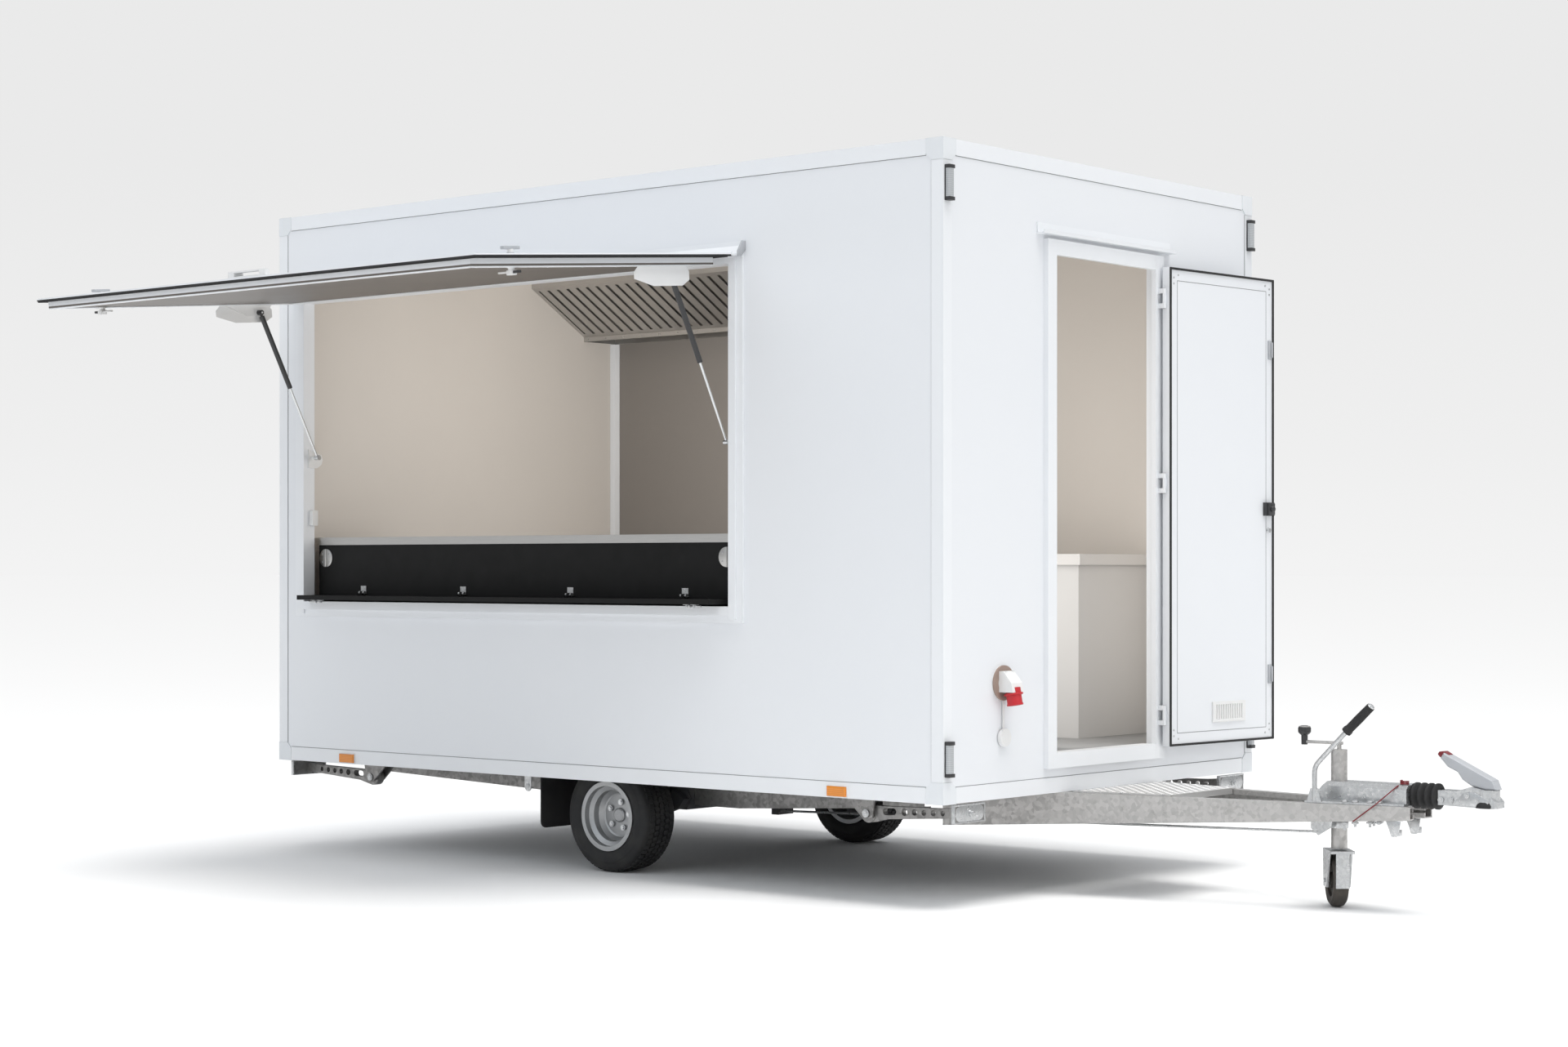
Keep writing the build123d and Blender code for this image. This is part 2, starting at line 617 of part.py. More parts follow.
def make_axle():
    tube_x, tube_z = arm_length, tyre_r + axle_rise
    reach = member_y + member_web / 2 + 2
    plane = Plane(origin=(tube_x, -reach, tube_z), x_dir=(1, 0, 0), z_dir=(0, 1, 0))
    beam = extrude(plane * RegularPolygon(axle_hex_r, 6), 2 * reach)
    for way in (-1, 1):
        y0, y1 = sorted((way * (reach - 1), way * (reach + 36)))
        a = atan2(axle_rise, arm_length)
        nx, nz = -sin(a), cos(a)
        arm = side_plate([(tube_x + 40 * nx, tube_z + 40 * nz), (32 * nx, tyre_r + 32 * nz), (-28, tyre_r - 20),
                          (-32 * nx, tyre_r - 32 * nz), (tube_x - 40 * nx, tube_z - 40 * nz),
                          (tube_x + 44, tube_z)], y0, y1)
        stub = round_bar((0, way * (reach + 30), tyre_r), (0, way * (wheel_y + 5), tyre_r), stub_r)
        beam += arm + stub
    for way in (-1, 1):
        beam += block(tube_x - 70, tube_x + 70, way * member_y - 22, way * member_y + 22, tube_z,
                      bottom - 20)
    beam += block(tube_x + 20, tube_x + 60, -50, 50, tube_z - 105, tube_z)
    add("axle_beam", beam)


def make_chassis():
    x0, x1 = rear + rail_leg + 10, drawbar_root + 40
    deck = skin_bottom
    mid0, mid1 = arm_length - 320, arm_length + 320
    deep, shallow = bottom - member_deep, bottom - member_shallow
    outline = [(x0, deck), (x1, deck), (x1, shallow), (mid1, deep), (mid0, deep), (x0, shallow)]
    inset = [(x0 - 1, deck - 4), (x1 + 1, deck - 4), (x1 + 1, shallow + 4), (mid1, deep + 4),
             (mid0, deep + 4), (x0 - 1, shallow + 4)]
    members = []
    for way in (-1, 1):
        y0, y1 = way * member_y - member_web / 2, way * member_y + member_web / 2
        beam = side_plate(outline, y0, y1)
        c0, c1 = (y0 + 4, y1 + 1) if way < 0 else (y0 - 1, y1 - 4)
        beam -= side_plate(inset, c0, c1)
        beam -= block(arm_length - 72, arm_length + 72, y0 - 1, y1 + 1, deep - 1, bottom - 19)
        members.append(beam)
    add("side_members", group(members))
    inner = member_y - member_web / 2 - slip
    tip = front + drawbar_length
    run_x, run_y = tip - drawbar_root, drawbar_spread - drawbar_nose
    long = hypot(run_x, run_y)
    angle = degrees(atan2(run_y, run_x))
    c1 = drawbar_root - drawbar_web / 2 * sin(radians(angle)) - slip
    c0 = c1 - 60
    crosses = [block(rear + 100, rear + 160, -inner, inner, deck - 60, deck),
               block(c0, c1, -inner, inner, deck - 60, deck)]
    add("cross_members", group(crosses))
    beams = []
    for way in (-1, 1):
        beam = drawbar_section(long, 0, -drawbar_web / 2, drawbar_web / 2)
        beam -= drawbar_section(long, 5, 5 - drawbar_web / 2, drawbar_web / 2 - 5)
        y0, y1 = sorted((-way * (drawbar_web / 2 - 6), -way * (drawbar_web / 2 + 1)))
        beam -= drawbar_section(long, drawbar_lip, y0, y1)
        beams.append(Pos(drawbar_root, way * drawbar_spread, 0) * Rot(Z=-way * angle) * beam)
    add("drawbar_beams", group(beams))
    flaps = []
    for way in (-1, 1):
        y0, y1 = sorted((way * (wheel_y - 115), way * (wheel_y + 115)))
        flap = block(-tyre_r - 130, -tyre_r - 124, y0, y1, 165, skin_bottom)
        flaps.append(fillet(flap.edges().filter_by(Axis.X).group_by(Axis.Z)[0], 30))
    add("mudflaps", group(flaps))
    s0, s1 = front + 40, front + step_reach
    step = floor_plate([(s0, -drawbar_y(s0)), (s1, -drawbar_y(s1)), (s1, drawbar_y(s1)),
                        (s0, drawbar_y(s0))], bottom, bottom + 5)
    fold = drawbar_y(s1) - drawbar_web / 2 - 4
    add("step_plate", step + block(s1 - 5, s1, -fold, fold, bottom - 18, bottom + 1))


def drawbar_section(long, margin, y0, y1):
    x0, x1 = (0, long) if margin == 0 else (-1, long + 1)
    return side_plate([(x0, bottom - margin), (x1, bottom - margin), (x1, bottom - drawbar_shallow + margin),
                       (x0, bottom - drawbar_deep + margin)], y0, y1)


def drawbar_y(x):
    share = (x - drawbar_root) / (front + drawbar_length - drawbar_root)
    return drawbar_spread + (drawbar_nose - drawbar_spread) * share


def make_coupling():
    x0, x1 = front + housing_start, front + housing_end
    y0, y1 = drawbar_y(x0) + 10, drawbar_y(x1) + 10
    base = floor_plate([(x0, -y0), (x1, -y1), (x1, y1), (x0, y0)], bottom, bottom + 8)
    hump = cross_plate([(-62, bottom + 7), (62, bottom + 7), (62, bottom + 60), (48, bottom + 76),
                        (-48, bottom + 76), (-62, bottom + 60)], x0, x1)
    hump -= side_plate([(x0 - 1, bottom + 30), (x0 - 1, bottom + 90), (x0 + 50, bottom + 90)], -80, 80)
    housing = base + hump + round_bar((x1 - 14, 0, coupling_z), (x1, 0, coupling_z), 44)
    jx = front + jack_place
    housing -= round_bar((jx, 0, bottom - 1), (jx, 0, bottom + 90), jack_tube_r + slip)
    shaft_r = 26.0
    housing -= round_bar((x1 - 200, 0, coupling_z), (x1 + 1, 0, coupling_z), shaft_r + slip)
    add("overrun_housing", housing)
    b0, b1 = x1 + slip, x1 + 112
    ribs = 4
    pitch = (b1 - b0) / ribs
    outline = [(shaft_r + slip, 0)]
    for i in range(ribs):
        a = i * pitch
        outline += [(34, a), (48, a + pitch * 0.3), (48, a + pitch * 0.6), (34, a + pitch * 0.92)]
    outline += [(34, b1 - b0), (shaft_r + slip, b1 - b0)]
    bellows = Pos(b0, 0, coupling_z) * Rot(Z=-90) * revolve(Polygon(*outline, align=None), Axis.Y)
    add("bellows", bellows)
    x2, x3 = b1 + slip, front + coupling_end
    shaft = round_bar((x1 - 190, 0, coupling_z), (x2 + 90, 0, coupling_z), shaft_r)
    zc = coupling_z
    head = side_plate([(x2, zc - 27), (x3 - 96, zc - 30), (x3, zc - 30), (x3, zc - 8), (x3 - 40, zc + 34),
                       (x3 - 95, zc + 44), (x2 + 70, zc + 26), (x2, zc + 26)], -36, 36)
    bx = x3 - 44
    head += round_bar((bx, 0, zc - 30), (bx, 0, zc + 34), 40)
    head += shaft
    head -= round_bar((bx, 0, zc - 31), (bx, 0, zc - 30 + ball_depth), ball_r)
    head -= Pos(bx, 0, zc - 30 + ball_depth) * Sphere(ball_r)
    add("coupling_head", head)
    hx, hz = x3 - 4, zc + 34
    grip = side_plate([(hx - 38, hz + slip), (hx + 2, hz + 2), (hx - 12, hz + 36), (hx - 205, hz + 128),
                       (hx - 218, hz + 108), (hx - 190, hz + 78), (hx - 150, hz + 60), (hx - 132, hz + 34),
                       (hx - 95, hz + 12)], -25, 25)
    grip = chamfer(grip.faces().filter_by(Axis.Y).edges(), 5)
    add("coupling_handle", grip - head)
    bx, by = front + brake_place, -drawbar_y(front + brake_place + 5) - 8
    heel = bottom + 8
    bend = Plane(origin=(bx, by, heel), x_dir=(1, 0, 0), z_dir=(0, -1, 0)) * FilletPolyline(
        (0, 0), (0, 128), (138, 268), (233, 357), radius=60)
    lever = sweep(Plane(origin=bend @ 0, z_dir=bend % 0) * Circle(brake_bar_r), path=bend)
    grip = round_bar((bx + 135, by, heel + 264), (bx + 233, by, heel + 357), brake_grip_r)
    lever += chamfer(grip.edges().filter_by(GeomType.CIRCLE), 3)
    lever += side_plate([(bx - 30, heel), (bx + 30, heel), (bx + 14, heel + 46), (bx - 14, heel + 46)],
                        by - 6, by + 6)
    add("handbrake_lever", lever)


def make_jack():
    jx = front + jack_place
    low, high = 224.0, 592.0
    tube = round_bar((jx, 0, low), (jx, 0, high), jack_tube_r)
    tube -= round_bar((jx, 0, low - 1), (jx, 0, high - 40), jack_stem_r + run)
    tube += round_bar((jx, 0, high - 1), (jx, 0, high + 34), 8)
    tube += round_bar((jx + 14, 0, high + 24), (jx - 150, 0, high + 24), 6)
    tube += round_bar((jx - 146, 0, high + 12), (jx - 146, 0, high + 61), 11)
    tube += round_bar((jx - 146, 0, high + 60), (jx - 146, 0, high + 82), 22)
    add("jack_tube", tube)
    stem_low = 2 * jack_wheel_r + 22
    stem = round_bar((jx, 0, stem_low), (jx, 0, high - 160), jack_stem_r)
    stem -= round_bar((jx, 0, stem_low - 1), (jx, 0, stem_low + 60), 10 + run)
    add("jack_stem", stem)
    turn = Pos(jx, 0, 0) * Rot(Z=jack_turn)
    w = jack_wheel_width / 2
    plate_z = 2 * jack_wheel_r + 8
    nose = jack_trail - jack_wheel_r - 9
    fork = block(nose - 6, jack_trail + 40, -w - 16, w + 16, plate_z, plate_z + 10)
    fork += block(nose - 6, nose, -w + 4, w - 4, jack_wheel_r - 20, plate_z + 5)
    for way in (-1, 1):
        y0, y1 = sorted((way * (w + 8), way * (w + 16)))
        low = jack_wheel_r - 24
        fork += side_plate([(-30, plate_z + 5), (jack_trail + 38, plate_z + 5), (jack_trail + 30, low),
                            (jack_trail - 30, low)], y0, y1)
    fork += round_bar((jack_trail, -w - 20, jack_wheel_r), (jack_trail, w + 20, jack_wheel_r), 8)
    fork += round_bar((0, 0, plate_z + 5), (0, 0, stem_low + 55), 10)
    add("jack_fork", turn * fork)
    r = jack_wheel_r
    wheel = [(8 + run, -w + 2), (30, -w + 2), (30, -w + 14), (62, -w + 14), (62, -w + 4), (r - 14, -w),
             (r - 4, -w + 8), (r, -w + 22)]
    wheel += [(a, -b) for a, b in reversed(wheel)]
    add("jack_wheel", turn * (Pos(jack_trail, 0, r) * revolve(Polygon(*wheel, align=None), Axis.Y)))


def make_brake_line():
    rod_y = -75.0
    x0, x1 = arm_length + 60 + slip, front + 985
    plate = side_plate([(x1 - 40, bottom), (x1 + 60, bottom), (x1 + 40, bottom - 95),
                        (x1 - 10, bottom - 125), (x1 - 40, bottom - 100)], rod_y - 4, rod_y + 4)
    rod = round_bar((x0, rod_y + 40, 212), (x1 - 8, rod_y, bottom - 112), 5)
    add("brake_rod", plate + rod)


steady_y = side - steady_inset


def steady_leg():
    """Leg in its raised pose, pivot at the origin of x, reaching along plus x."""
    reach = steady_reach
    leg = side_plate([(-20, -30), (20, -34), (90, -18), (reach - 60, 2), (reach - 8, 8), (reach - 8, 44),
                      (reach - 120, 36), (60, 30), (10, 34), (-26, 22), (-34, -4)], -14, 14)
    leg += round_bar((0, -18, 0), (0, 18, 0), 36)
    holes = [(x, 8 + x * 0.03, r) for x, r in ((80, 13), (118, 13), (170, 14), (218, 12), (262, 11),
                                               (306, 11), (350, 10))]
    for x, z, r in holes:
        leg -= round_bar((x, -20, z), (x, 20, z), r)
    (x0, z0, r), (x1, z1, r) = holes[:2]
    leg -= side_plate([(x0, z0 - r), (x1, z1 - r), (x1, z1 + r), (x0, z0 + r)], -20, 20)
    leg -= round_bar((0, -19, 0), (0, 19, 0), steady_pin_r + run)
    pad = block(reach - 8, reach + 4, -95, 95, -8, 58)
    return leg + pad


def make_steadies():
    bases = []
    for name, wx, wy in (("front_right", 1, -1), ("front_left", 1, 1), ("rear_right", -1, -1),
                         ("rear_left", -1, 1)):
        edge = front if wx > 0 else rear
        px, py, pz = edge - wx * (steady_reach + 5), wy * steady_y, bottom - steady_drop
        place = Pos(px, py, pz) * (Rot(Z=0) if wx > 0 else Rot(Z=180))
        add("steady_leg_" + name, place * steady_leg())
        base = block(-120, 50, -44, 44, steady_drop - 5, steady_drop + trim)
        for way in (-1, 1):
            y0, y1 = sorted((way * 24, way * 32))
            base += side_plate([(-110, steady_drop - 1), (42, steady_drop - 1), (30, -14), (10, -20),
                                (-22, -14)], y0, y1)
        base += round_bar((0, -34, 0), (0, 34, 0), steady_pin_r)
        bases.append(place * base)
    add("steady_bases", group(bases))


make_panels()
make_edges()
make_hatch_frame()
make_hinge_rail()
make_flap()
make_struts()
make_serving()
make_hood()
make_door()
make_fixtures()
make_wheels()
make_axle()
make_chassis()
make_coupling()
make_jack()
make_brake_line()
make_steadies()

boxes = [shape.bounding_box() for shape in parts.values()]
origin_x = (min(b.min.X for b in boxes) + max(b.max.X for b in boxes)) / 2
origin_y = (min(b.min.Y for b in boxes) + max(b.max.Y for b in boxes)) / 2
for name, shape in parts.items():
    export_step(Pos(-origin_x, -origin_y, 0) * shape, f"parts/{name}.step")
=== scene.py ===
import json
from math import cos, pi, radians, sin

import bmesh
import bpy
from mathutils import Matrix, Vector


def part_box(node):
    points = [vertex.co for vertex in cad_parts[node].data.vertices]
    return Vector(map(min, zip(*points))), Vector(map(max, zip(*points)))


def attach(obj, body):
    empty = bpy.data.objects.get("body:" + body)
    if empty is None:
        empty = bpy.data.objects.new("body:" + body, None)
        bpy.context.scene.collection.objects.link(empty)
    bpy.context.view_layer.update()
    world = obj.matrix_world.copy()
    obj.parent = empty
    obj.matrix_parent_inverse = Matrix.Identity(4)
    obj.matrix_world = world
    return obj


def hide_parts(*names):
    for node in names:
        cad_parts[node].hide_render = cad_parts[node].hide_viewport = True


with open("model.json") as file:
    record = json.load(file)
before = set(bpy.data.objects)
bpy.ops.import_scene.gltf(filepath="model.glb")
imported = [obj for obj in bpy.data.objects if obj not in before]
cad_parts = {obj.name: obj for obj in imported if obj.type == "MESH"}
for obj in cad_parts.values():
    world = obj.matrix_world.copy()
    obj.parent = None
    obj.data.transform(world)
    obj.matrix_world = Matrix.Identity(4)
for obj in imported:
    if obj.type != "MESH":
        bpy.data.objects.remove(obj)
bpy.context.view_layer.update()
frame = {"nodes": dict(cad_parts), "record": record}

nodes = frame["nodes"]
scene = bpy.context.scene
scene.view_settings.view_transform = "Standard"

# all sizes are millimetres in the axle's frame unless a note says otherwise
boxSize = {"front": 1900, "rear": -1850, "side": 1100, "bottom": 400, "top": 2850, "trim": 3}
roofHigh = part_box("roof_panel")[1]
shiftX = roofHigh.x - (boxSize["front"] - boxSize["trim"]) / 1000
shiftY = roofHigh.y - (boxSize["side"] - boxSize["trim"]) / 1000


def at(x, y, z):  # ahead of the axle, left of the middle and above the ground
    return Vector((x / 1000 + shiftX, y / 1000 + shiftY, z / 1000))


def linked(name, data):  # a new object in the scene
    made = bpy.data.objects.new(name, data)
    scene.collection.objects.link(made)
    return made


print("frame loaded:", len(nodes), "nodes")


def operator(operation, swap=False):
    def apply(signal, other):
        first, second = (other, signal) if swap else (signal, other)
        return signal.finish.node("Math", {0: first, 1: second}, operation=operation)
    return apply


class Signal:  # one output of a shader node, with arithmetic
    __add__ = __radd__ = operator("ADD")
    __sub__, __rsub__ = operator("SUBTRACT"), operator("SUBTRACT", True)
    __mul__ = __rmul__ = operator("MULTIPLY")
    __truediv__, __pow__ = operator("DIVIDE"), operator("POWER")

    def __init__(self, finish, socket):
        self.finish, self.socket = finish, socket

    def clamped(self):
        return self.finish.node("Clamp", {"Value": self})

    def above(self, level, soft):  # 0 below level, 1 well above it
        return ((self - level) / soft).clamped()


class Finish:  # one material and its nodes
    def __init__(self, name, **values):
        self.material = bpy.data.materials.new(name)
        self.material.use_nodes = True
        self.tree = self.material.node_tree
        self.shader = self.tree.nodes["Principled BSDF"]
        self.place = self.node("TexCoord", out="Object")
        self.set(**values)

    def node(self, kind, inputs=None, out=0, **settings):
        made = self.tree.nodes.new("ShaderNode" + kind)
        for key, value in settings.items():
            setattr(made, key, value)
        for key, value in (inputs or {}).items():
            self.feed(made.inputs[key], value)
        return Signal(self, made.outputs[out])

    def feed(self, socket, value):
        if isinstance(value, Signal):
            self.tree.links.new(value.socket, socket)
        else:
            socket.default_value = value

    def set(self, **values):
        names = {"color": "Base Color", "coat": "Coat Weight", "shine": "Specular IOR Level"}
        for key, value in values.items():
            self.feed(self.shader.inputs[names.get(key, key.capitalize())], value)

    def noise(self, scale, detail, stretch=None):
        spot = self.place
        if stretch:
            spot = self.node("Mapping", {"Vector": spot, "Scale": stretch})
        return self.node("TexNoise", {"Vector": spot, "Scale": scale, "Detail": detail}, "Fac")

    def crystals(self, scale):  # one random level to each grain
        cells = self.node("TexVoronoi", {"Vector": self.place, "Scale": scale}, "Color")
        return self.node("SeparateColor", {0: cells}, "Red")

    def axis(self, letter):
        return self.node("SeparateXYZ", {0: self.place}, letter)

    def mix(self, share, first, second):
        first, second = [c if isinstance(c, Signal) else (*c, 1) for c in (first, second)]
        return self.node("Mix", {0: share, 6: first, 7: second}, 2, data_type="RGBA")

    def relief(self, height, strength, depth, edge):  # bump, over edges that look rounded by edge metres
        rounded = self.node("Bevel", {"Radius": edge}, samples=4)
        inputs = {"Height": height, "Strength": strength, "Distance": depth, "Normal": rounded}
        self.feed(self.shader.inputs["Normal"], self.node("Bump", inputs))


def darker(color, share):
    return [c * share for c in color]


def painted(name):  # a finish with the fine grain of paint, and the broad noise that varies its tone
    finish = Finish(name)
    finish.relief(finish.noise(240, 2), 0.05, 0.0006, 0.0012)
    return finish, finish.noise(1.3, 4)


def lacquer(name, color, shade, roughness=0.34, dust=0.1, dustTone=(0.46, 0.45, 0.42)):
    finish, broad = painted(name)
    low = (1 - finish.axis("Z").above(0.42, 0.5)) * finish.noise(7, 5) * dust
    tone = finish.mix(broad, color, shade)
    finish.set(color=finish.mix(low.clamped(), tone, dustTone), roughness=roughness + 0.1 * broad)
    return finish.material


def innerShadeTone(finish, inner):  # tone of an inner face, painted beige as warm interior shade
    return finish.mix(finish.noise(2.2, 3), inner, darker(inner, 0.94))


def twoFaced(name, tones, inner, letter, level, way, panel=None):  # wall whose inner face is painted warm shade, with a darker patch of painted shade on it
    finish, broad = painted(name)
    share = finish.axis(letter).above(level, 0.002)
    inside = innerShadeTone(finish, inner)
    if panel:
        # the patch is painted shade: the inner face is darker towards the rear, above the given height
        shadePatchTone, ahead, over = panel
        behind = 1 - finish.axis("X").above(ahead, 0.001)
        inside = finish.mix(behind * finish.axis("Z").above(over, 0.001), inside, shadePatchTone)
    outside = finish.mix(broad, *tones)
    finish.set(color=finish.mix(share if way > 0 else 1 - share, outside, inside), roughness=0.34 + 0.12 * broad)
    return finish.material


hatch = {"x0": -1660, "x1": 870, "z0": 1118, "z1": 2454, "axisY": -1132, "axisZ": 2488.5, "open": 85,
         "skinIn": -1126, "skinOut": -1138, "coreFace": -1096, "overlap": 32, "lowOverlap": 8,
         "liningTop": -30, "band": (-7.8, -0.2), "bandTone": (0.014, 0.014, 0.015)}


def flapLining(name, tones, inner):  # outer skin with a dark strip on its edge, and the face under it painted dark as shade
    finish, broad = painted(name)
    lift = radians(hatch["open"])
    hinge = at(0, hatch["axisY"], hatch["axisZ"])
    height = (finish.axis("Z") - hinge.z) * sin(lift) - (finish.axis("Y") - hinge.y) * cos(lift)
    outer = height.above(hatch["liningTop"] / 1000, 0.002)
    low, high = (height.above(level / 1000, 0.0004) for level in hatch["band"])
    skin = finish.mix(low * (1 - high), finish.mix(broad, *tones), hatch["bandTone"])
    roughness = 0.42 - 0.04 * outer + 0.08 * broad
    finish.set(color=finish.mix(outer, innerShadeTone(finish, inner), skin), roughness=roughness)
    return finish.material


brushLines = (3, 160, 160)


def brushed(name, color, shade, along=brushLines, roughness=0.24):
    finish = Finish(name, metallic=1)
    lines, broad = finish.noise(6, 3, along), finish.noise(2.5, 4)
    finish.set(color=finish.mix(lines, color, shade), roughness=roughness + 0.16 * lines + 0.08 * broad)
    finish.relief(lines, 0.05, 0.0004, 0.001)
    return finish.material


def worktopSteel(name, steel, shade, pale):  # steel on the serving side, pale laminate on the other
    finish = Finish(name)
    lines, left = finish.noise(6, 3, brushLines), finish.axis("Y").above(shiftY, 0.01)
    tone = finish.mix(left, finish.mix(lines, steel, shade), pale)
    finish.set(color=tone, metallic=1 - left, roughness=0.24 + 0.16 * lines)
    finish.relief(lines, 0.05, 0.0004, 0.001)
    return finish.material


def spangled(name, color, shade, scale=70, roughness=0.36, stain=0.45, stainTone=(0.2, 0.19, 0.175)):
    finish = Finish(name, metallic=0.9)
    crystal, cloud = finish.crystals(scale), finish.noise(9, 6)
    marks = finish.noise(26, 8).above(0.6, 0.22) * stain
    tone = finish.mix((crystal * 0.6 + cloud * 0.4).clamped(), color, shade)
    finish.set(color=finish.mix(marks, tone, stainTone), roughness=roughness + 0.2 * crystal + 0.15 * marks)
    finish.relief(crystal * 0.4 + cloud, 0.12, 0.0006, 0.0014)
    return finish.material


def moulded(name, color, roughness=0.5, grain=420, strength=0.1, edge=0.0012, fade=0.82, shine=0.5):
    finish = Finish(name, shine=shine)
    broad, fine = finish.noise(14, 4), finish.noise(grain, 2)
    finish.set(color=finish.mix(broad, color, darker(color, fade)), roughness=roughness + 0.12 * broad)
    finish.relief(fine, strength, 0.0005, edge)
    return finish.material


def splitHeight(name, low, high, level):  # plastic of one colour below a height and another above it
    finish = Finish(name)
    broad, fine = finish.noise(14, 4), finish.noise(420, 2)
    tone = finish.mix(finish.axis("Z").above(level / 1000, 0.001), low, high)
    finish.set(color=finish.mix(broad * 0.12, tone, (0.3, 0.3, 0.3)), roughness=0.36 + 0.12 * broad)
    finish.relief(fine, 0.08, 0.0005, 0.0012)
    return finish.material


def dustyRubber(name, color, dust, share, roughness=0.7):
    finish = Finish(name)
    cloud, fine = finish.noise(11, 6), finish.noise(300, 3)
    film = (cloud.above(0.42, 0.4) * share).clamped()
    finish.set(color=finish.mix(film, color, dust), roughness=roughness + 0.15 * cloud)
    finish.relief(fine, 0.12, 0.0006, 0.001)
    return finish.material


def lens(name, color, roughness=0.12):
    finish = Finish(name, coat=0.6)
    ribs = finish.node("TexWave", {"Vector": finish.place, "Scale": 60}, bands_direction="Z")
    finish.set(color=finish.mix(ribs, color, darker(color, 0.7)), roughness=roughness + 0.1 * ribs)
    finish.relief(ribs, 0.25, 0.001, 0.002)
    return finish.material


whites = ((0.80, 0.815, 0.84), (0.765, 0.785, 0.815))
steels = ((0.66, 0.65, 0.635), (0.5, 0.495, 0.485))
plasticWhite = (0.80, 0.80, 0.795)
treadLines = (8, 60, 60)
materials = {
    "white_panel": lacquer("whiteLaminate", *whites),
    "white_profile": lacquer("whiteProfile", (0.83, 0.845, 0.865), (0.79, 0.81, 0.84), 0.28),
    "cap_plastic": moulded("capPlastic", (0.76, 0.785, 0.81), 0.42, fade=0.96),
    "floor_board": dustyRubber("greyFloor", (0.30, 0.305, 0.31), (0.42, 0.41, 0.39), 0.4, 0.55),
    "stainless": brushed("stainless", *steels),
    "black_board": moulded("blackBoard", (0.008, 0.008, 0.0082), 0.58, grain=500, strength=0.16, edge=0.0008,
                           fade=0.7, shine=0.25),
    "pale_cabinet": lacquer("paleCabinet", (0.66, 0.655, 0.65), (0.62, 0.615, 0.61), 0.4),
    "galvanised": spangled("galvanised", (0.57, 0.555, 0.54), (0.43, 0.42, 0.41)),
    "zinc_plated": spangled("zincPlated", (0.62, 0.625, 0.625), (0.48, 0.49, 0.5), 140, 0.26, stain=0.25),
    "black_rubber": dustyRubber("blackRubber", (0.016, 0.016, 0.017), (0.06, 0.057, 0.052), 0.35),
    "tyre_rubber": dustyRubber("tyreRubber", (0.014, 0.014, 0.015), (0.075, 0.07, 0.062), 0.4, 0.62),
    "wheel_silver": spangled("wheelSilver", (0.55, 0.555, 0.56), (0.43, 0.435, 0.44), 900, 0.34, stain=0.2),
    "axle_steel": dustyRubber("darkSteel", (0.055, 0.056, 0.06), (0.15, 0.135, 0.115), 0.5, 0.42),
    "grey_plastic": moulded("greyPlastic", (0.46, 0.475, 0.5), 0.4),
    "red_plastic": moulded("redPlastic", (0.56, 0.022, 0.03), 0.32),
    "clear_lens": lens("clearLens", (0.5, 0.52, 0.54)),
    "amber_lens": lens("amberLens", (0.83, 0.27, 0.015)),
    "red_lens": lens("redLens", (0.42, 0.012, 0.015)),
    "strut_black": moulded("blackEnamel", (0.035, 0.035, 0.037), 0.3, grain=300, strength=0.05),
    "bright_rod": brushed("brightRod", (0.72, 0.73, 0.74), (0.6, 0.61, 0.62), (60, 60, 60), 0.12),
    "tread_aluminium": brushed("treadAluminium", (0.68, 0.675, 0.665), (0.56, 0.555, 0.55), treadLines, 0.42),
    "white_plastic": moulded("whitePlastic", plasticWhite, 0.38, fade=0.95),
    "joint_line": moulded("jointSealant", (0.27, 0.275, 0.28), 0.6),
    "dark_red": moulded("darkRed", (0.2, 0.012, 0.018), 0.4),
    # dark brown ring: painted shade in the recess round the power inlet
    "taupe": moulded("taupeRing", (0.33, 0.24, 0.2), 0.5),
    "tread_crown": brushed("treadCrown", (0.93, 0.925, 0.915), (0.84, 0.835, 0.83), treadLines, 0.3),
}
looks = {  # nodes with a finish of their own
    # the dark tone on the flap's underside is painted shade
    "flap_panel": flapLining("flapLining", whites, (0.135, 0.118, 0.104)),
    "worktops": worktopSteel("worktopSteel", *steels, (0.68, 0.67, 0.66)),
    "jack_wheel": dustyRubber("jackRubber", (0.05, 0.044, 0.038), (0.15, 0.125, 0.1), 0.6),
    "door_fittings": splitHeight("ventAndLock", plasticWhite, (0.022, 0.022, 0.024), 1000),
}
# underframe members and steady legs: their dark tone is painted shade from under the body; the stain marks are real
# stains
shadedUnderframe = spangled("weatheredSteel", (0.35, 0.342, 0.335), (0.22, 0.215, 0.21))
for name in nodes:
    if name in ("side_members", "cross_members") or name.startswith("steady_"):
        looks[name] = shadedUnderframe

# inner faces: the beige tone is painted warm shade of the interior; the wall panels themselves are white
innerShade = {"tone": (0.72, 0.68, 0.635), "roofTones": ((0.6, 0.605, 0.61), (0.53, 0.535, 0.54)),
         # painted shade on the left wall's inner face under the hood: tone, x where it ends, height where it starts
         "panel": ((0.27, 0.25, 0.232), at(150, 0, 0).x, 1.327),
         "walls": (("left_wall", "Y", boxSize["side"], -1, 35), ("right_wall", "Y", -boxSize["side"], 1, 35),
                   ("rear_wall", "X", boxSize["rear"], 1, 35), ("front_wall", "X", boxSize["front"], -1, 35),
                   ("roof_panel", "Z", boxSize["top"], -1, 45))}  # name, axis, outer face, way in, depth
for name, letter, face, way, depth in innerShade["walls"]:
    spot = face + way * (boxSize["trim"] + depth)
    level = at(spot, spot, spot)["XYZ".index(letter)]
    # the roof's outer face is painted grey: painted shade on its white panel, which the overhead lamp lights most
    tones = innerShade["roofTones"] if name == "roof_panel" else whites
    panel = innerShade["panel"] if name == "left_wall" else None
    looks[name] = twoFaced(name.replace("_", "") + "Lining", tones, innerShade["tone"], letter, level, way, panel)
for part in frame["record"]["subparts"]:
    data = nodes[part["node"]].data
    data.materials.clear()
    data.materials.append(looks.get(part["node"], materials[part["material_slot"]]))
print("finishes:", len(bpy.data.materials))

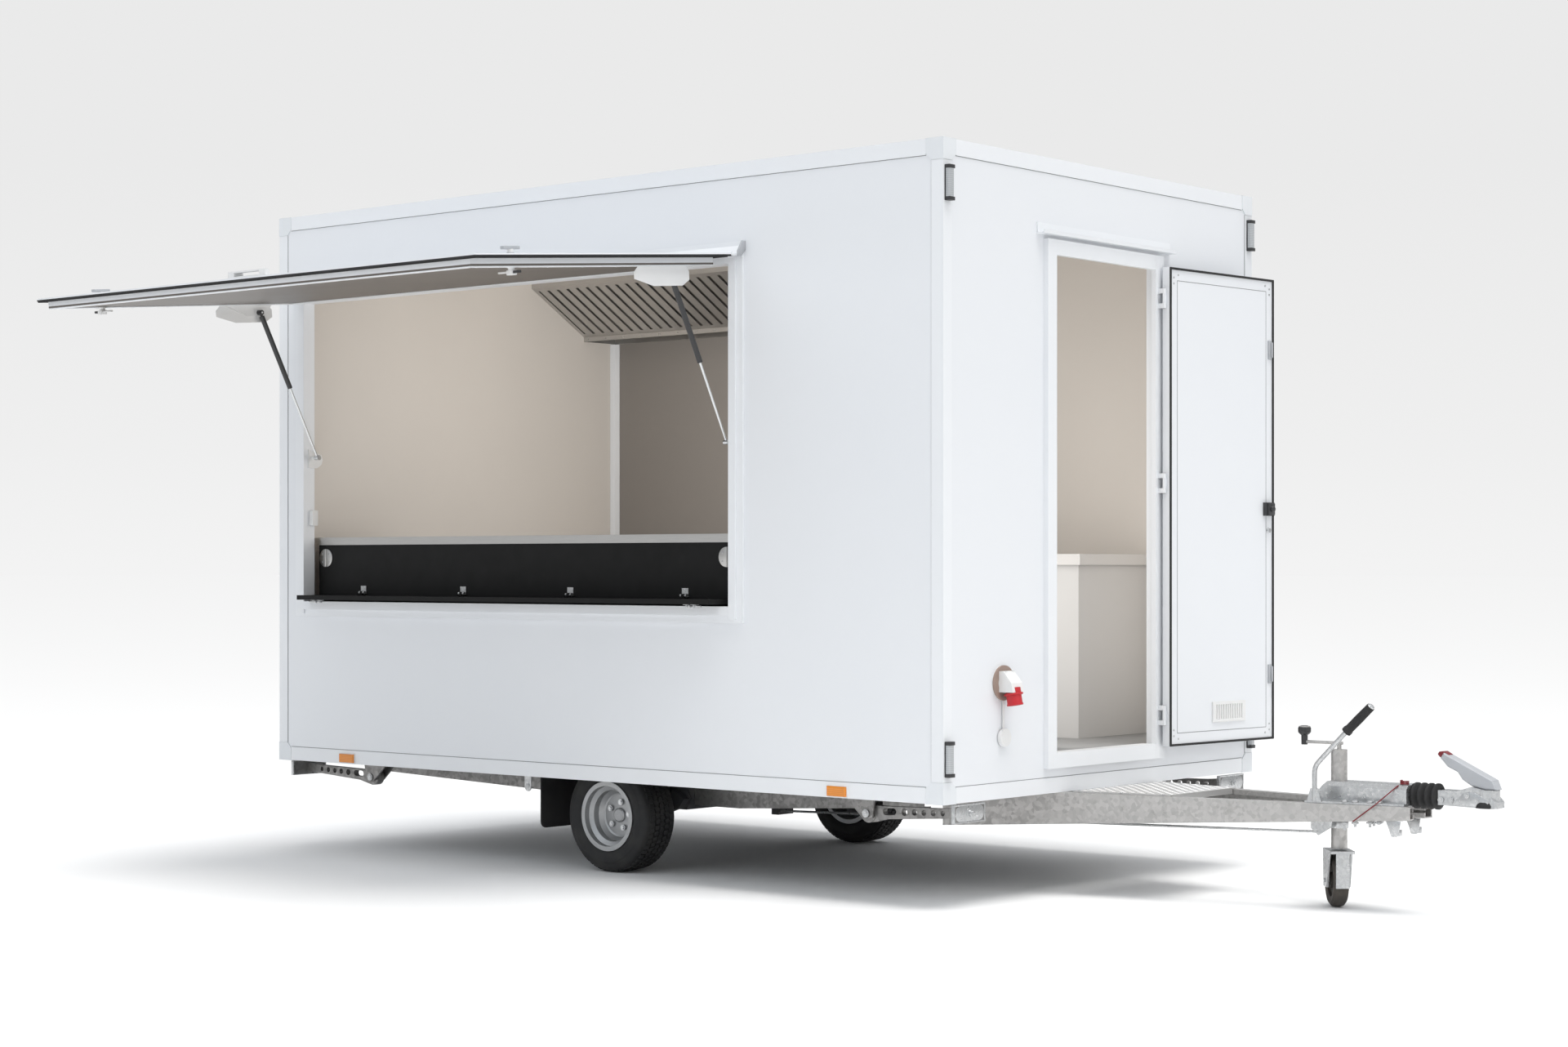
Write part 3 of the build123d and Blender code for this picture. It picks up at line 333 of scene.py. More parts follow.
studio = {"floorSize": 300, "floorTones": ((0.93, 0.93, 0.93), (0.95, 0.95, 0.95)), "haze": 3.2,  # metres
          "backdrop": ((0, 0.896), (0.04, 0.864), (0.14, 0.823)), "dome": 0.87,
          "domeTint": (0.96, 0.98, 1), "domeRise": ((0.02, 0.3), (0.55, 1)),
          "suns": (("softKey", (-0.22, 0.07, -0.97), 1.9, 34, (1, 0.985, 0.96)),
                   ("frontFill", (-0.9, 0.1, -0.42), 0.36, 60, (1, 0.99, 0.97)),
                   ("sideFill", (0.1, 0.85, -0.5), 0.2, 60, (0.7, 0.85, 1))),
          "panels": (("cabinGlow", (-100, -100, 1930), (-1, 0.45, 0), 1.3, 0.9, 15),
                     ("doorGlow", (1180, -60, 1480), (0, 1, 0), 1.1, 1.8, 9.5),
                     ("counterGlow", (1790, 780, 1080), (-1, 0, 0), 0.45, 1, 0.9)),
          "panelTint": (1, 0.97, 0.93)}


def makeFloor():  # fades into the backdrop away from the trailer
    half = studio["floorSize"]
    mesh = bpy.data.meshes.new("studioFloor")
    corners = [(-half, -half, 0), (half, -half, 0), (half, half, 0), (-half, half, 0)]
    mesh.from_pydata(corners, [], [(0, 1, 2, 3)])
    floor = linked("studioFloor", mesh)
    finish = Finish("paleFloor", roughness=0.9, shine=0)
    finish.set(color=finish.mix(finish.noise(0.4, 2), *studio["floorTones"]))
    reach = finish.node("VectorMath", {0: finish.place}, "Value", operation="LENGTH")
    away = (1 - studio["haze"] * reach ** -1).clamped()
    level = studio["backdrop"][0][1]
    bare = finish.node("Emission", {"Color": (level, level, level, 1)})
    lit = Signal(finish, finish.shader.outputs[0])
    blend = finish.node("MixShader", {0: away, 1: lit, 2: bare})
    finish.feed(finish.tree.nodes["Material Output"].inputs["Surface"], blend)
    mesh.materials.append(finish.material)


def makeSky():  # a lighting dome, and the plain backdrop that the camera sees
    world = scene.world or bpy.data.worlds.new("studioSky")
    scene.world = world
    world.use_nodes = True
    tree = world.node_tree
    tree.nodes.clear()
    kinds = ("OutputWorld", "Background", "Background", "MixShader", "LightPath", "TexCoord", "SeparateXYZ")
    output, light, seen, choose, rays, spot, split = (tree.nodes.new("ShaderNode" + kind) for kind in kinds)
    light.inputs["Strength"].default_value = studio["dome"]

    def ramp(steps, tint):  # steps of (height in the sky, level)
        made = tree.nodes.new("ShaderNodeValToRGB")
        stops = made.color_ramp.elements
        stops[0].position, stops[1].position = steps[0][0], steps[-1][0]
        for height, level in steps[1:-1]:
            stops.new(height)
        for stop, (height, level) in zip(stops, steps):
            stop.color = (*darker(tint, level), 1)
        tree.links.new(split.outputs["Z"], made.inputs[0])
        return made.outputs[0]

    tree.links.new(spot.outputs["Generated"], split.inputs[0])
    tree.links.new(ramp(studio["domeRise"], studio["domeTint"]), light.inputs["Color"])
    tree.links.new(ramp(studio["backdrop"], (1, 1, 1)), seen.inputs["Color"])
    for i, source in enumerate((rays.outputs["Is Camera Ray"], light.outputs[0], seen.outputs[0])):
        tree.links.new(source, choose.inputs[i])
    tree.links.new(choose.outputs[0], output.inputs[0])


def aimed(way):
    return Vector(way).to_track_quat("-Z", "Y").to_euler()


def addLamp(name, kind, way):
    lamp = linked(name, bpy.data.lights.new(name, kind))
    lamp.rotation_euler = aimed(way)
    return lamp


def makeLamps():
    for name, way, energy, angle, color in studio["suns"]:
        sun = addLamp(name, "SUN", way).data
        sun.energy, sun.angle, sun.color = energy, radians(angle), color
    for name, place, way, width, height, energy in studio["panels"]:  # soft light inside the box
        lamp = addLamp(name, "AREA", way)
        lamp.location = at(*place)
        lamp.visible_camera = lamp.visible_glossy = False
        glow = lamp.data
        glow.energy, glow.shape, glow.color = energy, "RECTANGLE", studio["panelTint"]
        glow.size, glow.size_y = width, height


viewpoint = {"place": (7973.5, -9233.3, 1278), "toward": (-0.64337, 0.76556, 0), "lens": 63.5,
             "sensor": 36, "lift": 51.5 / 1920}


def makeCamera():
    optics = bpy.data.cameras.new("photoCamera")
    optics.lens, optics.sensor_width, optics.shift_y = (viewpoint[k] for k in ("lens", "sensor", "lift"))
    camera = linked("photoCamera", optics)
    camera.location = at(*viewpoint["place"])
    camera.rotation_euler = aimed(viewpoint["toward"])
    scene.camera = camera


makeFloor()
makeSky()
makeLamps()
makeCamera()
print("studio and camera ready")


class Shape:  # closed bodies that are gathered into one piece
    def __init__(self):
        self.mesh = bmesh.new()

    def solid(self, rings, around=False):  # body through rings of points, capped or run back to the first
        made = [[self.mesh.verts.new(point) for point in ring] for ring in rings]
        count = len(made[0])
        if not around:
            self.mesh.faces.new(list(reversed(made[0])))
            self.mesh.faces.new(made[-1])
        for low, high in zip(made, made[1:] + made[:1] if around else made[1:]):
            for i in range(count):
                j = (i + 1) % count
                self.mesh.faces.new((low[i], low[j], high[j], high[i]))
        return self

    def prism(self, points, axis, start, end):  # outline in the other two axes, in their order
        def place(a, b, c):
            return {"x": (c, a, b), "y": (a, c, b), "z": (a, b, c)}[axis]
        return self.solid([[place(a, b, c) for a, b in points] for c in sorted((start, end))])

    def box(self, x0, x1, y0, y1, z0, z1):
        (x0, x1), (y0, y1) = sorted((x0, x1)), sorted((y0, y1))
        return self.prism(((x0, y0), (x1, y0), (x1, y1), (x0, y1)), "z", z0, z1)

    def boxes(self, middle, sizes):  # boxes of (x0, x1, y0, y1, z0, z1) about a point
        for size in sizes:
            self.box(*(middle[i // 2] + size[i] for i in range(6)))
        return self

    def hoop(self, outer, width, axis, start, end):  # mitred rectangular ring, outer = (a0, a1, b0, b1)
        a0, a1, b0, b1 = outer
        rims = []
        for inset in (0, width):
            low, high = (a0 + inset, b0 + inset), (a1 - inset, b1 - inset)
            rims.append((low, (high[0], low[1]), high, (low[0], high[1])))
        for i in range(4):
            j = (i + 1) % 4
            self.prism((rims[0][i], rims[0][j], rims[1][j], rims[1][i]), axis, start, end)
        return self

    def lathe(self, profile, start, toward, steps=28, around=False):  # profile of (along, radius) about a line
        way = Vector(toward).normalized()
        side = way.orthogonal().normalized()
        other = way.cross(side)
        turns = [2 * pi * i / steps for i in range(steps)]
        rings = []
        for along, radius in profile:
            middle = Vector(start) + way * along
            rings.append([middle + (side * cos(a) + other * sin(a)) * radius for a in turns])
        return self.solid(rings, around)

    def rod(self, start, end, radius, steps=20):
        way = Vector(end) - Vector(start)
        return self.lathe([(0, radius), (way.length, radius)], start, way, steps)

    def piece(self, name, slot, body="trailer", turn=None, edge=0, look=None):
        bmesh.ops.recalc_face_normals(self.mesh, faces=self.mesh.faces)
        data = bpy.data.meshes.new(name)
        if turn:
            self.mesh.transform(turn)
        self.mesh.transform(Matrix.Translation((shiftX, shiftY, 0)) @ Matrix.Scale(0.001, 4))
        self.mesh.to_mesh(data)
        self.mesh.free()
        made = linked(name, data)
        if edge:
            bevel = made.modifiers.new("edge", "BEVEL")
            bevel.width, bevel.segments, bevel.limit_method = edge / 1000, 2, "ANGLE"
            settle(made)
        return dress(made, slot, body, look)


def settle(made):  # the evaluated shape becomes the piece's own plain mesh
    bpy.context.view_layer.update()
    whole = bpy.data.meshes.new_from_object(made.evaluated_get(bpy.context.evaluated_depsgraph_get()))
    made.modifiers.clear()
    made.data = whole


def dress(made, slot, body, look=None, smooth=True):
    made.data.materials.clear()
    made.data.materials.append(materials[look or slot])
    if smooth:
        made.data.shade_smooth()
        made.data.set_sharp_from_angle(angle=radians(32))
    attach(made, body)
    return made


def about(x, y, z, angle, axis):  # turn about a line
    middle = Matrix.Translation((x, y, z))
    return middle @ Matrix.Rotation(radians(angle), 4, axis) @ middle.inverted()


def arc(radius, first, last, step):  # points on a circle, by degrees
    turns = [radians(a) for a in range(first, last + 1, step)]
    return [(radius * cos(a), radius * sin(a)) for a in turns]


class Tree:  # a Geometry Nodes group that is built in code
    def __init__(self, name, **inputs):
        self.group = bpy.data.node_groups.new(name, "GeometryNodeTree")
        face = self.group.interface
        face.new_socket("Geometry", in_out="INPUT", socket_type="NodeSocketGeometry")
        kinds = {float: "NodeSocketFloat", int: "NodeSocketInt", bpy.types.Material: "NodeSocketMaterial"}
        for key, value in inputs.items():
            face.new_socket(key, in_out="INPUT", socket_type=kinds[type(value)])
        face.new_socket("Geometry", in_out="OUTPUT", socket_type="NodeSocketGeometry")
        self.source = self.group.nodes.new("NodeGroupInput")
        self.target = self.group.nodes.new("NodeGroupOutput")
        self.values = inputs

    def node(self, kind, settings=None, out=0, **links):
        made = self.group.nodes.new(kind if kind.startswith("Function") else "GeometryNode" + kind)
        for key, value in (settings or {}).items():
            setattr(made, key, value)
        for key, value in links.items():
            socket = made.inputs[key.replace("_", " ")]
            for one in value if isinstance(value, list) else [value]:
                if isinstance(one, bpy.types.NodeSocket):
                    self.group.links.new(one, socket)
                else:
                    socket.default_value = one
        return made.outputs[out]

    def read(self, name):
        return self.source.outputs[name]

    def facing(self, axis):  # rotation that lays an axis along each point's facing
        stored = self.node("InputNamedAttribute", {"data_type": "FLOAT_VECTOR"}, Name="facing")
        return self.node("FunctionNodeAlignRotationToVector", {"axis": axis}, Vector=stored)

    def scatter(self, shape, turn):  # one shape on each point
        return self.node("InstanceOnPoints", Points=self.read("Geometry"), Instance=shape, Rotation=turn)

    def close(self, geometry):
        real = self.node("RealizeInstances", Geometry=geometry)
        done = self.node("SetMaterial", Geometry=real, Material=self.read("Finish"))
        self.group.links.new(done, self.target.inputs[0])
        return self

    def grow(self, name, points, facings=None):  # plain mesh of this tree over points, in metres
        data = bpy.data.meshes.new(name)
        data.from_pydata([tuple(p) for p in points], [], [])
        if facings:
            stored = data.attributes.new("facing", "FLOAT_VECTOR", "POINT")
            stored.data.foreach_set("vector", [c for f in facings for c in f])
        made = linked(name, data)
        tool = made.modifiers.new("grow", "NODES")
        tool.node_group = self.group
        for item in self.group.interface.items_tree:
            if item.in_out == "INPUT" and item.name in self.values:
                tool[item.identifier] = self.values[item.name]
        settle(made)
        return made


washer = {"spread": 1.45, "height": 0.5, "sides": 20}  # shares of its bolt head


def headTree(name, finish, radius, height, sides):  # bolt or screw heads on points, along their facing
    tree = Tree(name, Radius=radius, Height=height, Sides=sides, Finish=finish)
    head = tree.node("MeshCylinder", Vertices=tree.read("Sides"), Radius=tree.read("Radius"),
                     Depth=tree.read("Height"))
    ring = tree.node("MeshCylinder", Vertices=washer["sides"], Radius=radius * washer["spread"],
                     Depth=height * washer["height"])
    pair = tree.node("JoinGeometry", Geometry=[head, ring])
    return tree.close(tree.scatter(pair, tree.facing("Z")))


def heads(name, slot, spots, radius, height, sides=6, body="trailer", turn=None):  # spots of (x, y, z, facing)
    turn = turn or Matrix.Identity(4)
    points = [at(*(turn @ Vector(spot[:3]))) for spot in spots]
    facings = [turn.to_3x3() @ Vector(spot[3]) for spot in spots]
    tree = headTree(name, materials[slot], radius / 1000, height / 1000, sides)
    return dress(tree.grow(name, points, facings), slot, body, smooth=False)


def hatchEnds(inset=0):  # both ends of the opening, each with the way out of it
    return (hatch["x1"] - inset, 1), (hatch["x0"] + inset, -1)


flapTurn = about(0, hatch["axisY"], hatch["axisZ"], -hatch["open"], "X")
flap = {"seal": 13, "sealDepth": 5, "sealIn": 3, "sealLow": 2, "sealTop": 10,
        "border": 40, "borderDepth": 5, "borderIn": 14, "borderTop": 28,
        "rivetIn": 34, "rivetLow": 60, "rivetPitch": 180, "rivets": 7,
        "railOut": 65, "railThick": 7,
        "railEnd": ((-1143, 2478), (-1122, 2478), (-1098, 2505), (-1098, 2541), (-1118, 2541), (-1143, 2500)),
        "plateIn": 22, "plateThick": 3, "plateTop": 2292,  # outline of (out of the core, down)
        "plate": ((0, 28), (24, 0), (58, 0), (80, 40), (80, 205), (52, 310), (26, 310), (0, 280))}
lock = {"in": 52, "up": 250, "boss": ((0, 17), (6, 17), (6, 12), (20, 12)),
        "block": (-14, 14, 14, 32, -14, 14), "arm": (0, 62, 17, 24, -9, 9), "tail": (-14, -44, 16, 26, -8, 8),
        "bar": ((-9, -41), (9, -41), (10, 0), (9, 41), (-9, 41), (-10, 0)), "barOut": (19, 31),
        "base": ((0, 20), (3, 20), (4, 15), (8, 14))}


def makeFlapTrim():
    x0, x1, z0, z1, face, skin = (hatch[k] for k in ("x0", "x1", "z0", "z1", "coreFace", "skinIn"))
    out, low = hatch["overlap"] - flap["sealIn"], hatch["lowOverlap"] - flap["sealLow"]
    outer = (x0 - out, x1 + out, z0 - low, z1 + flap["sealTop"])
    seal = Shape().hoop(outer, flap["seal"], "y", skin, skin + flap["sealDepth"])
    seal.piece("flapSeal", "black_rubber", "flap", flapTurn)
    inset, raised = flap["borderIn"], face + flap["borderDepth"]
    outer = (x0 + inset, x1 - inset, z0 + inset, z1 - flap["borderTop"])
    border = Shape().hoop(outer, flap["border"], "y", face, raised)
    border.piece("flapBorder", "white_profile", "flap", flapTurn, edge=1.5)
    levers, tails, plates, bars, ends = (Shape() for i in range(5))
    z, skin = z0 + lock["up"], hatch["skinOut"]
    for x, way in hatchEnds(lock["in"]):
        levers.lathe(lock["boss"], (x, face, z), (0, 1, 0))
        for shape, key in ((levers, "block"), (levers, "arm"), (tails, "tail")):
            a, b, *rest = lock[key]  # x runs inward
            shape.boxes((x, face, z), [(-way * a, -way * b, *rest)])
        bars.prism([(x + a, z + b) for a, b in lock["bar"]], "y", *(skin - out for out in lock["barOut"]))
        bars.lathe(lock["base"], (x, skin, z), (0, -1, 0))
    for x, way in hatchEnds(flap["plateIn"]):
        outline = [(face + a, flap["plateTop"] - b) for a, b in flap["plate"]]
        plates.prism(outline, "x", x, x - way * flap["plateThick"])
    for x, way in hatchEnds(-flap["railOut"]):
        ends.prism(flap["railEnd"], "x", x, x + way * flap["railThick"])
    levers.piece("flapLockLevers", "white_plastic", "flap", flapTurn, edge=2)
    tails.piece("flapLockTails", "strut_black", "flap", flapTurn, edge=2)
    plates.piece("strutPlates", "white_plastic", "flap", flapTurn, edge=1)
    bars.piece("flapHandleBars", "grey_plastic", "flap", flapTurn, edge=3)
    ends.piece("hingeRailEnds", "grey_plastic", edge=2)
    heights = [z0 + flap["rivetLow"] + flap["rivetPitch"] * i for i in range(flap["rivets"])]
    spots = [(x, raised + 0.5, z, (0, 1, 0)) for x, way in hatchEnds(flap["rivetIn"]) for z in heights]
    heads("flapBorderRivets", "white_profile", spots, radius=3.2, height=2, sides=14, body="flap", turn=flapTurn)


counter = {"face": -1031, "discX": (788, -1610), "discZ": 1312, "discR": 40, "discGap": 3,
           "discThick": 3.2, "pinOut": 4, "pinR": 3.4, "screwX": 23, "screwZ": 18, "screwOut": 3.6}
catch = {"in": 150, "edge": -1192, "under": 1126, "boltY": 23, "boltDown": 8, "boltR": 5, "boltX": (-24, 52),
         "boxes": ((-34, 34, 12, 34, -3, 0), (-6, 6, 8, 18, -14, -2), (-22, -14, 14, 32, -14, -2),
                   (16, 24, 14, 32, -14, -2))}
keeper = {"blockIn": 24, "blockY": (-1088, -1056), "blockZ": (1458, 1526), "plateIn": 5,
          "plate": ((-1096, 1716), (-1046, 1716), (-1020, 1732), (-1012, 1752), (-1020, 1776), (-1096, 1800)),
          "pinIn": 56, "pinY": -1077, "pinZ": 1762}


def makeCounterTrim():
    face, z, r, pin = counter["face"], counter["discZ"], counter["discR"], counter["face"] - counter["pinOut"]
    discs, catches, keepers = Shape(), Shape(), Shape()
    spots = []
    for x in counter["discX"]:
        for way in (1, -1):
            outline = [(x + way * (counter["discGap"] + a), z + way * b) for a, b in arc(r, -90, 90, 12)]
            discs.prism(outline, "y", face - counter["discThick"], face)
            screwX, screwY = x + way * counter["screwX"], face - counter["screwOut"]
            spots += [(screwX, screwY, z + up * counter["screwZ"], (0, -1, 0)) for up in (-1, 1)]
        discs.rod((x, pin, z - r), (x, pin, z + r), counter["pinR"], 14)
    discs.piece("roundHinges", "stainless", edge=0.8)
    heads("roundHingeScrews", "bright_rod", spots, radius=2.6, height=1.6, sides=14)
    y, z = catch["edge"] + catch["boltY"], catch["under"] - catch["boltDown"]
    back, tip = catch["boltX"]
    for x, way in hatchEnds(catch["in"]):
        catches.boxes((x, catch["edge"], catch["under"]), catch["boxes"])
        catches.rod((x + back, y, z), (x + way * tip, y, z), catch["boltR"], 14)
    catches.piece("shelfCatches", "zinc_plated", "shelf", edge=0.8)
    for x, way in hatchEnds():
        keepers.box(x, x - way * keeper["blockIn"], *keeper["blockY"], *keeper["blockZ"])
        keepers.prism(keeper["plate"], "x", x, x - way * keeper["plateIn"])
    keepers.piece("jambKeepers", "white_plastic", edge=1.5)
    spots = [(x, keeper["pinY"], keeper["pinZ"], (-way, 0, 0)) for x, way in hatchEnds(keeper["pinIn"])]
    heads("strutBolts", "zinc_plated", spots, radius=6, height=6)


room = {"front": 1857, "rear": -1807, "side": 1057, "floor": 548, "top": 2797, "cove": 34,
        "thick": 3, "bend": 10, "cabinetTop": 1328, "hoodLow": 2409, "counterTop": 1405}


def makeRoomTrim():
    c, t, bend, strips = room["cove"], room["thick"], room["bend"], Shape()
    profile = ((0, 0), (c, 0), (c, t), (bend, bend), (t, c), (0, c))
    for end, way, low, high in (("rear", 1, "cabinetTop", "hoodLow"), ("rear", -1, "counterTop", "top"),
                                ("front", 1, "floor", "top"), ("front", -1, "floor", "top")):
        x, y, inward = room[end], way * room["side"], 1 if end == "rear" else -1
        strips.prism([(x + inward * a, y - way * b) for a, b in profile], "z", room[low], room[high])
    strips.piece("insideCorners", "white_profile")


door = {"axisX": 1945, "axisY": 335, "open": 175.5, "y0": -403, "y1": 327, "z0": 544, "z1": 2488,
        "inner": 1926, "middle": 1516, "hinges": (671.2, 1612, 2360.8), "hingeHalf": 41}
leaf = {"sealIn": 1, "seal": 9, "sealDepth": 6, "jointIn": 52, "joint": 2.4, "jointDepth": 0.5,
        "screwOut": 0.8, "screws": ((30, (42, 66)), (60, (30,))),  # in from the sides, from the ends
        "latch": ((2, 28, -15, 0, -26, 26), (8, 20, -26, -12, -9, 9), (-26, -20, 22, 70, -24, 24)),
        "knob": ((0, 13), (10, 13), (14, 10)), "knobAt": (-24, 46, 0),
        "catches": (0.142, 0.846), "catch": ((-6, 0, 16, 40, -40, 40),), "catchPin": (-9, 22, 32), "catchR": 5,
        "barrel": ((0, 11), (4, 11), (6, 9), (12, 9)), "barrelAt": (0, 40, -90),
        "keyhole": ((-12.5, -12, 39, 41, -95, -85),)}
doorTurn = about(door["axisX"], door["axisY"], 0, door["open"], "Z")


def makeDoorTrim():
    y0, y1, z0, z1, face = (door[k] for k in ("y0", "y1", "z0", "z1", "inner"))

    def inset(by):
        return y0 + by, y1 - by, z0 + by, z1 - by

    seal = Shape().hoop(inset(leaf["sealIn"]), leaf["seal"], "x", face - leaf["sealDepth"], face)
    seal.piece("doorSeal", "black_rubber", "door", doorTurn, edge=1.5)
    lines = Shape().hoop(inset(leaf["jointIn"]), leaf["joint"], "x", face - leaf["jointDepth"], face)
    lines.piece("doorPanelJoint", "grey_plastic", "door", doorTurn, look="joint_line")
    spots = [(face - leaf["screwOut"], y, z, (-1, 0, 0)) for side, ends in leaf["screws"]
             for y in (y0 + side, y1 - side) for end in ends for z in (z0 + end, z1 - end)]
    heads("doorScrews", "zinc_plated", spots, radius=3, height=1.6, sides=14, body="door", turn=doorTurn)
    edge = Vector((face, y0, door["middle"]))
    latch = Shape().boxes(edge, leaf["latch"])
    latch.lathe(leaf["knob"], edge + Vector(leaf["knobAt"]), (-1, 0, 0))
    latch.piece("doorLatch", "strut_black", "door", doorTurn, edge=1.5)
    catches = Shape()
    out, aside, half = leaf["catchPin"]
    for share in leaf["catches"]:
        z = z0 + (z1 - z0) * share
        catches.boxes((face, y0, z), leaf["catch"])
        catches.rod((face + out, y0 + aside, z - half), (face + out, y0 + aside, z + half), leaf["catchR"], 14)
    catches.piece("doorCatches", "grey_plastic", "door", doorTurn, edge=1)
    barrel = Shape().lathe(leaf["barrel"], edge + Vector(leaf["barrelAt"]), (-1, 0, 0))
    barrel.boxes(edge, leaf["keyhole"])
    barrel.piece("doorLockBarrel", "bright_rod", "door", doorTurn)
    spots = [(door["axisX"], door["axisY"], z + way * door["hingeHalf"], (0, 0, way))
             for z in door["hinges"] for way in (-1, 1)]
    heads("doorHingePins", "zinc_plated", spots, radius=4, height=3, sides=16)


wallJoint = {"rail": 60, "post": 55, "cap": 80, "proud": 0.8, "wide": 2.4}


def makeWallJoints():
    front, rear, side, low, high, skin = boxSize.values()
    rail, post, cap, proud, wide = wallJoint.values()
    lines = Shape()
    heights = (low + rail, high - rail - wide)
    for x, way in ((front, 1), (rear, -1)):  # end walls
        depth = (x - way * skin, x - way * (skin - proud))
        for z in heights:
            lines.box(*depth, -side + cap, side - cap, z, z + wide)
        for y in (-side + post, side - post - wide):
            lines.box(*depth, y, y + wide, low + cap, high - cap)
    for y, way in ((side, 1), (-side, -1)):  # long walls
        depth = (y - way * skin, y - way * (skin - proud))
        for z in heights:
            lines.box(rear + cap, front - cap, *depth, z, z + wide)
        for x in (rear + post, front - post - wide):
            lines.box(x, x + wide, *depth, low + cap, high - cap)
    lines.piece("wallJoints", "grey_plastic", look="joint_line")


wheel = {"y": 802.5, "z": 234, "tyreR": 234, "half": 97.5, "studPcd": 112, "studs": 5, "studOut": 16,
         "studTurn": 0.15,  # the tyre's wall as (in from its side, radius)
         "wall": ((12, 131.3), (12, 146), (7, 152), (1.5, 164), (0.2, 178), (1.2, 192), (2.2, 193.2), (3.5, 200),
                  (6, 210), (9, 217), (17, 223.5), (26, 226.5))}
tread = {"blocks": 58, "ribs": 5, "pitch": 0.0285, "length": 0.0205, "height": 0.016, "width": 0.0228,
         "drop": 0.0082, "outerWidth": 0.0252, "outerDrop": 0.0096, "tilt": 14, "stagger": 3.1}  # metres, degrees


def treadTree(finish, side):
    radius = wheel["tyreR"] / 1000
    tree = Tree("tyreTread", Blocks=tread["blocks"], Radius=radius, Finish=finish)
    ribs = []
    for i in range(tread["ribs"]):
        spread = i - (tread["ribs"] - 1) / 2
        outer = i in (0, tread["ribs"] - 1)
        circle = tree.node("MeshCircle", Vertices=tree.read("Blocks"), Radius=tree.read("Radius"))
        width = tread["outerWidth" if outer else "width"]
        block = tree.node("MeshCube", Size=(tread["length"], tread["height"], width))
        place = tree.node("InputPosition")
        turn = tree.node("FunctionNodeAlignRotationToVector", {"axis": "Y"}, Vector=place)
        if not outer:
            tilt = radians(tread["tilt"] * (1 if i % 2 else -1))
            turn = tree.node("FunctionNodeRotateRotation", {"rotation_space": "LOCAL"}, Rotation=turn,
                             Rotate_By=(0, tilt, 0))
        row = tree.node("InstanceOnPoints", Points=circle, Instance=block, Rotation=turn)
        size = (radius - tread["outerDrop" if outer else "drop"]) / radius
        ribs.append(tree.node("Transform", Geometry=row, Translation=(0, 0, spread * tread["pitch"]),
                              Rotation=(0, 0, radians(tread["stagger"] * i)), Scale=(size, size, 1)))
    joined = tree.node("JoinGeometry", Geometry=ribs)
    return tree.close(tree.node("Transform", Geometry=joined, Rotation=(radians(90), 0, 0),
                                Translation=tuple(at(0, side * wheel["y"], wheel["z"]))))


def makeWheelTrim():
    outline = [(inset - wheel["half"], r) for inset, r in wheel["wall"]]
    outline += [(-a, r) for a, r in reversed(outline)]
    for name, side in (("right", -1), ("left", 1)):
        title, rider = name.capitalize(), "wheel_" + name
        carcass = Shape().lathe(outline, (0, side * wheel["y"], wheel["z"]), (0, 1, 0), 120, True)
        tyre = carcass.piece("tyreBody" + title, "tyre_rubber", rider)
        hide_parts("tyre_" + name)
        blocks = treadTree(materials["tyre_rubber"], side).grow("tyreTread" + title, [at(0, 0, 0)])
        dress(blocks, "tyre_rubber", rider, smooth=False)
        spots, y = [], side * (wheel["y"] + wheel["studOut"])
        for i in range(wheel["studs"]):
            a, p = 2 * pi * (i + wheel["studTurn"]) / wheel["studs"], wheel["studPcd"] / 2
            spots.append((p * sin(a), y, wheel["z"] + p * cos(a), (0, side, 0)))
        heads("wheelBolts" + title, "bright_rod", spots, radius=8.5, height=15, body=rider)


drawbar = {"root": 1400, "end": 3250, "spread": 417, "nose": 66, "rootLow": 250, "endLow": 351,
           "top": 400}


def beamAt(x):  # middle and underside of a drawbar beam
    share = (x - drawbar["root"]) / (drawbar["end"] - drawbar["root"])
    return (drawbar["spread"] + (drawbar["nose"] - drawbar["spread"]) * share,
            drawbar["rootLow"] + (drawbar["endLow"] - drawbar["rootLow"]) * share)


coupling = {"z": 438, "lipX": 3516, "lipDown": 31.5, "lip": ((0, 43), (3, 47), (10, 47.5), (16, 45), (22, 41.5)),
            "gripX": 3560, "gripUp": 34, "gripHalf": 18,
            "grip": ((-186, 121), (-207, 133), (-226, 131), (-232, 121), (-224, 112), (-214, 106), (-200, 92)),
            "cheekY": (36, 40), "cheek": ((3400, -24), (3440, 22), (3482, 26), (3542, -4), (3528, -26)),
            "bolts": ((3454, 41, 12), (3490, 41, -6), (3352, 39, -8), (3390, 39, -8))}
crank = {"place": (2774, 0, 606),
         "knob": ((0, 11.7), (34, 12.4), (40, 20), (45, 24), (60, 24.5), (67, 21), (70, 12))}
brake = {"low": (3030, -140.5, 672), "high": (3128, -140.5, 765), "end": ((-1, 13), (2, 12), (4, 8)),
         "grip": ((-6, 16), (-6, 19), (6, 19), (14, 16.6), (60, 17.2), (126, 16.2), (133, 15.6))}
housing = {"studs": ((3004, 34), (3043, 22), (3098, 24), (3130, 14)), "studR": 5, "nutDown": 7, "nutUp": 12}
hanger = {"x": 3190, "half": 20, "thick": 5, "eye": (-8, 18, -16, 20, -56, -34),
          "plate": ((-28, 0), (32, 0), (26, -34), (16, -58), (-6, -58), (-14, -34))}
jackRing = {"place": (2920, 0, 300), "profile": ((0, 35), (30, 35), (30, 31), (0, 31))}


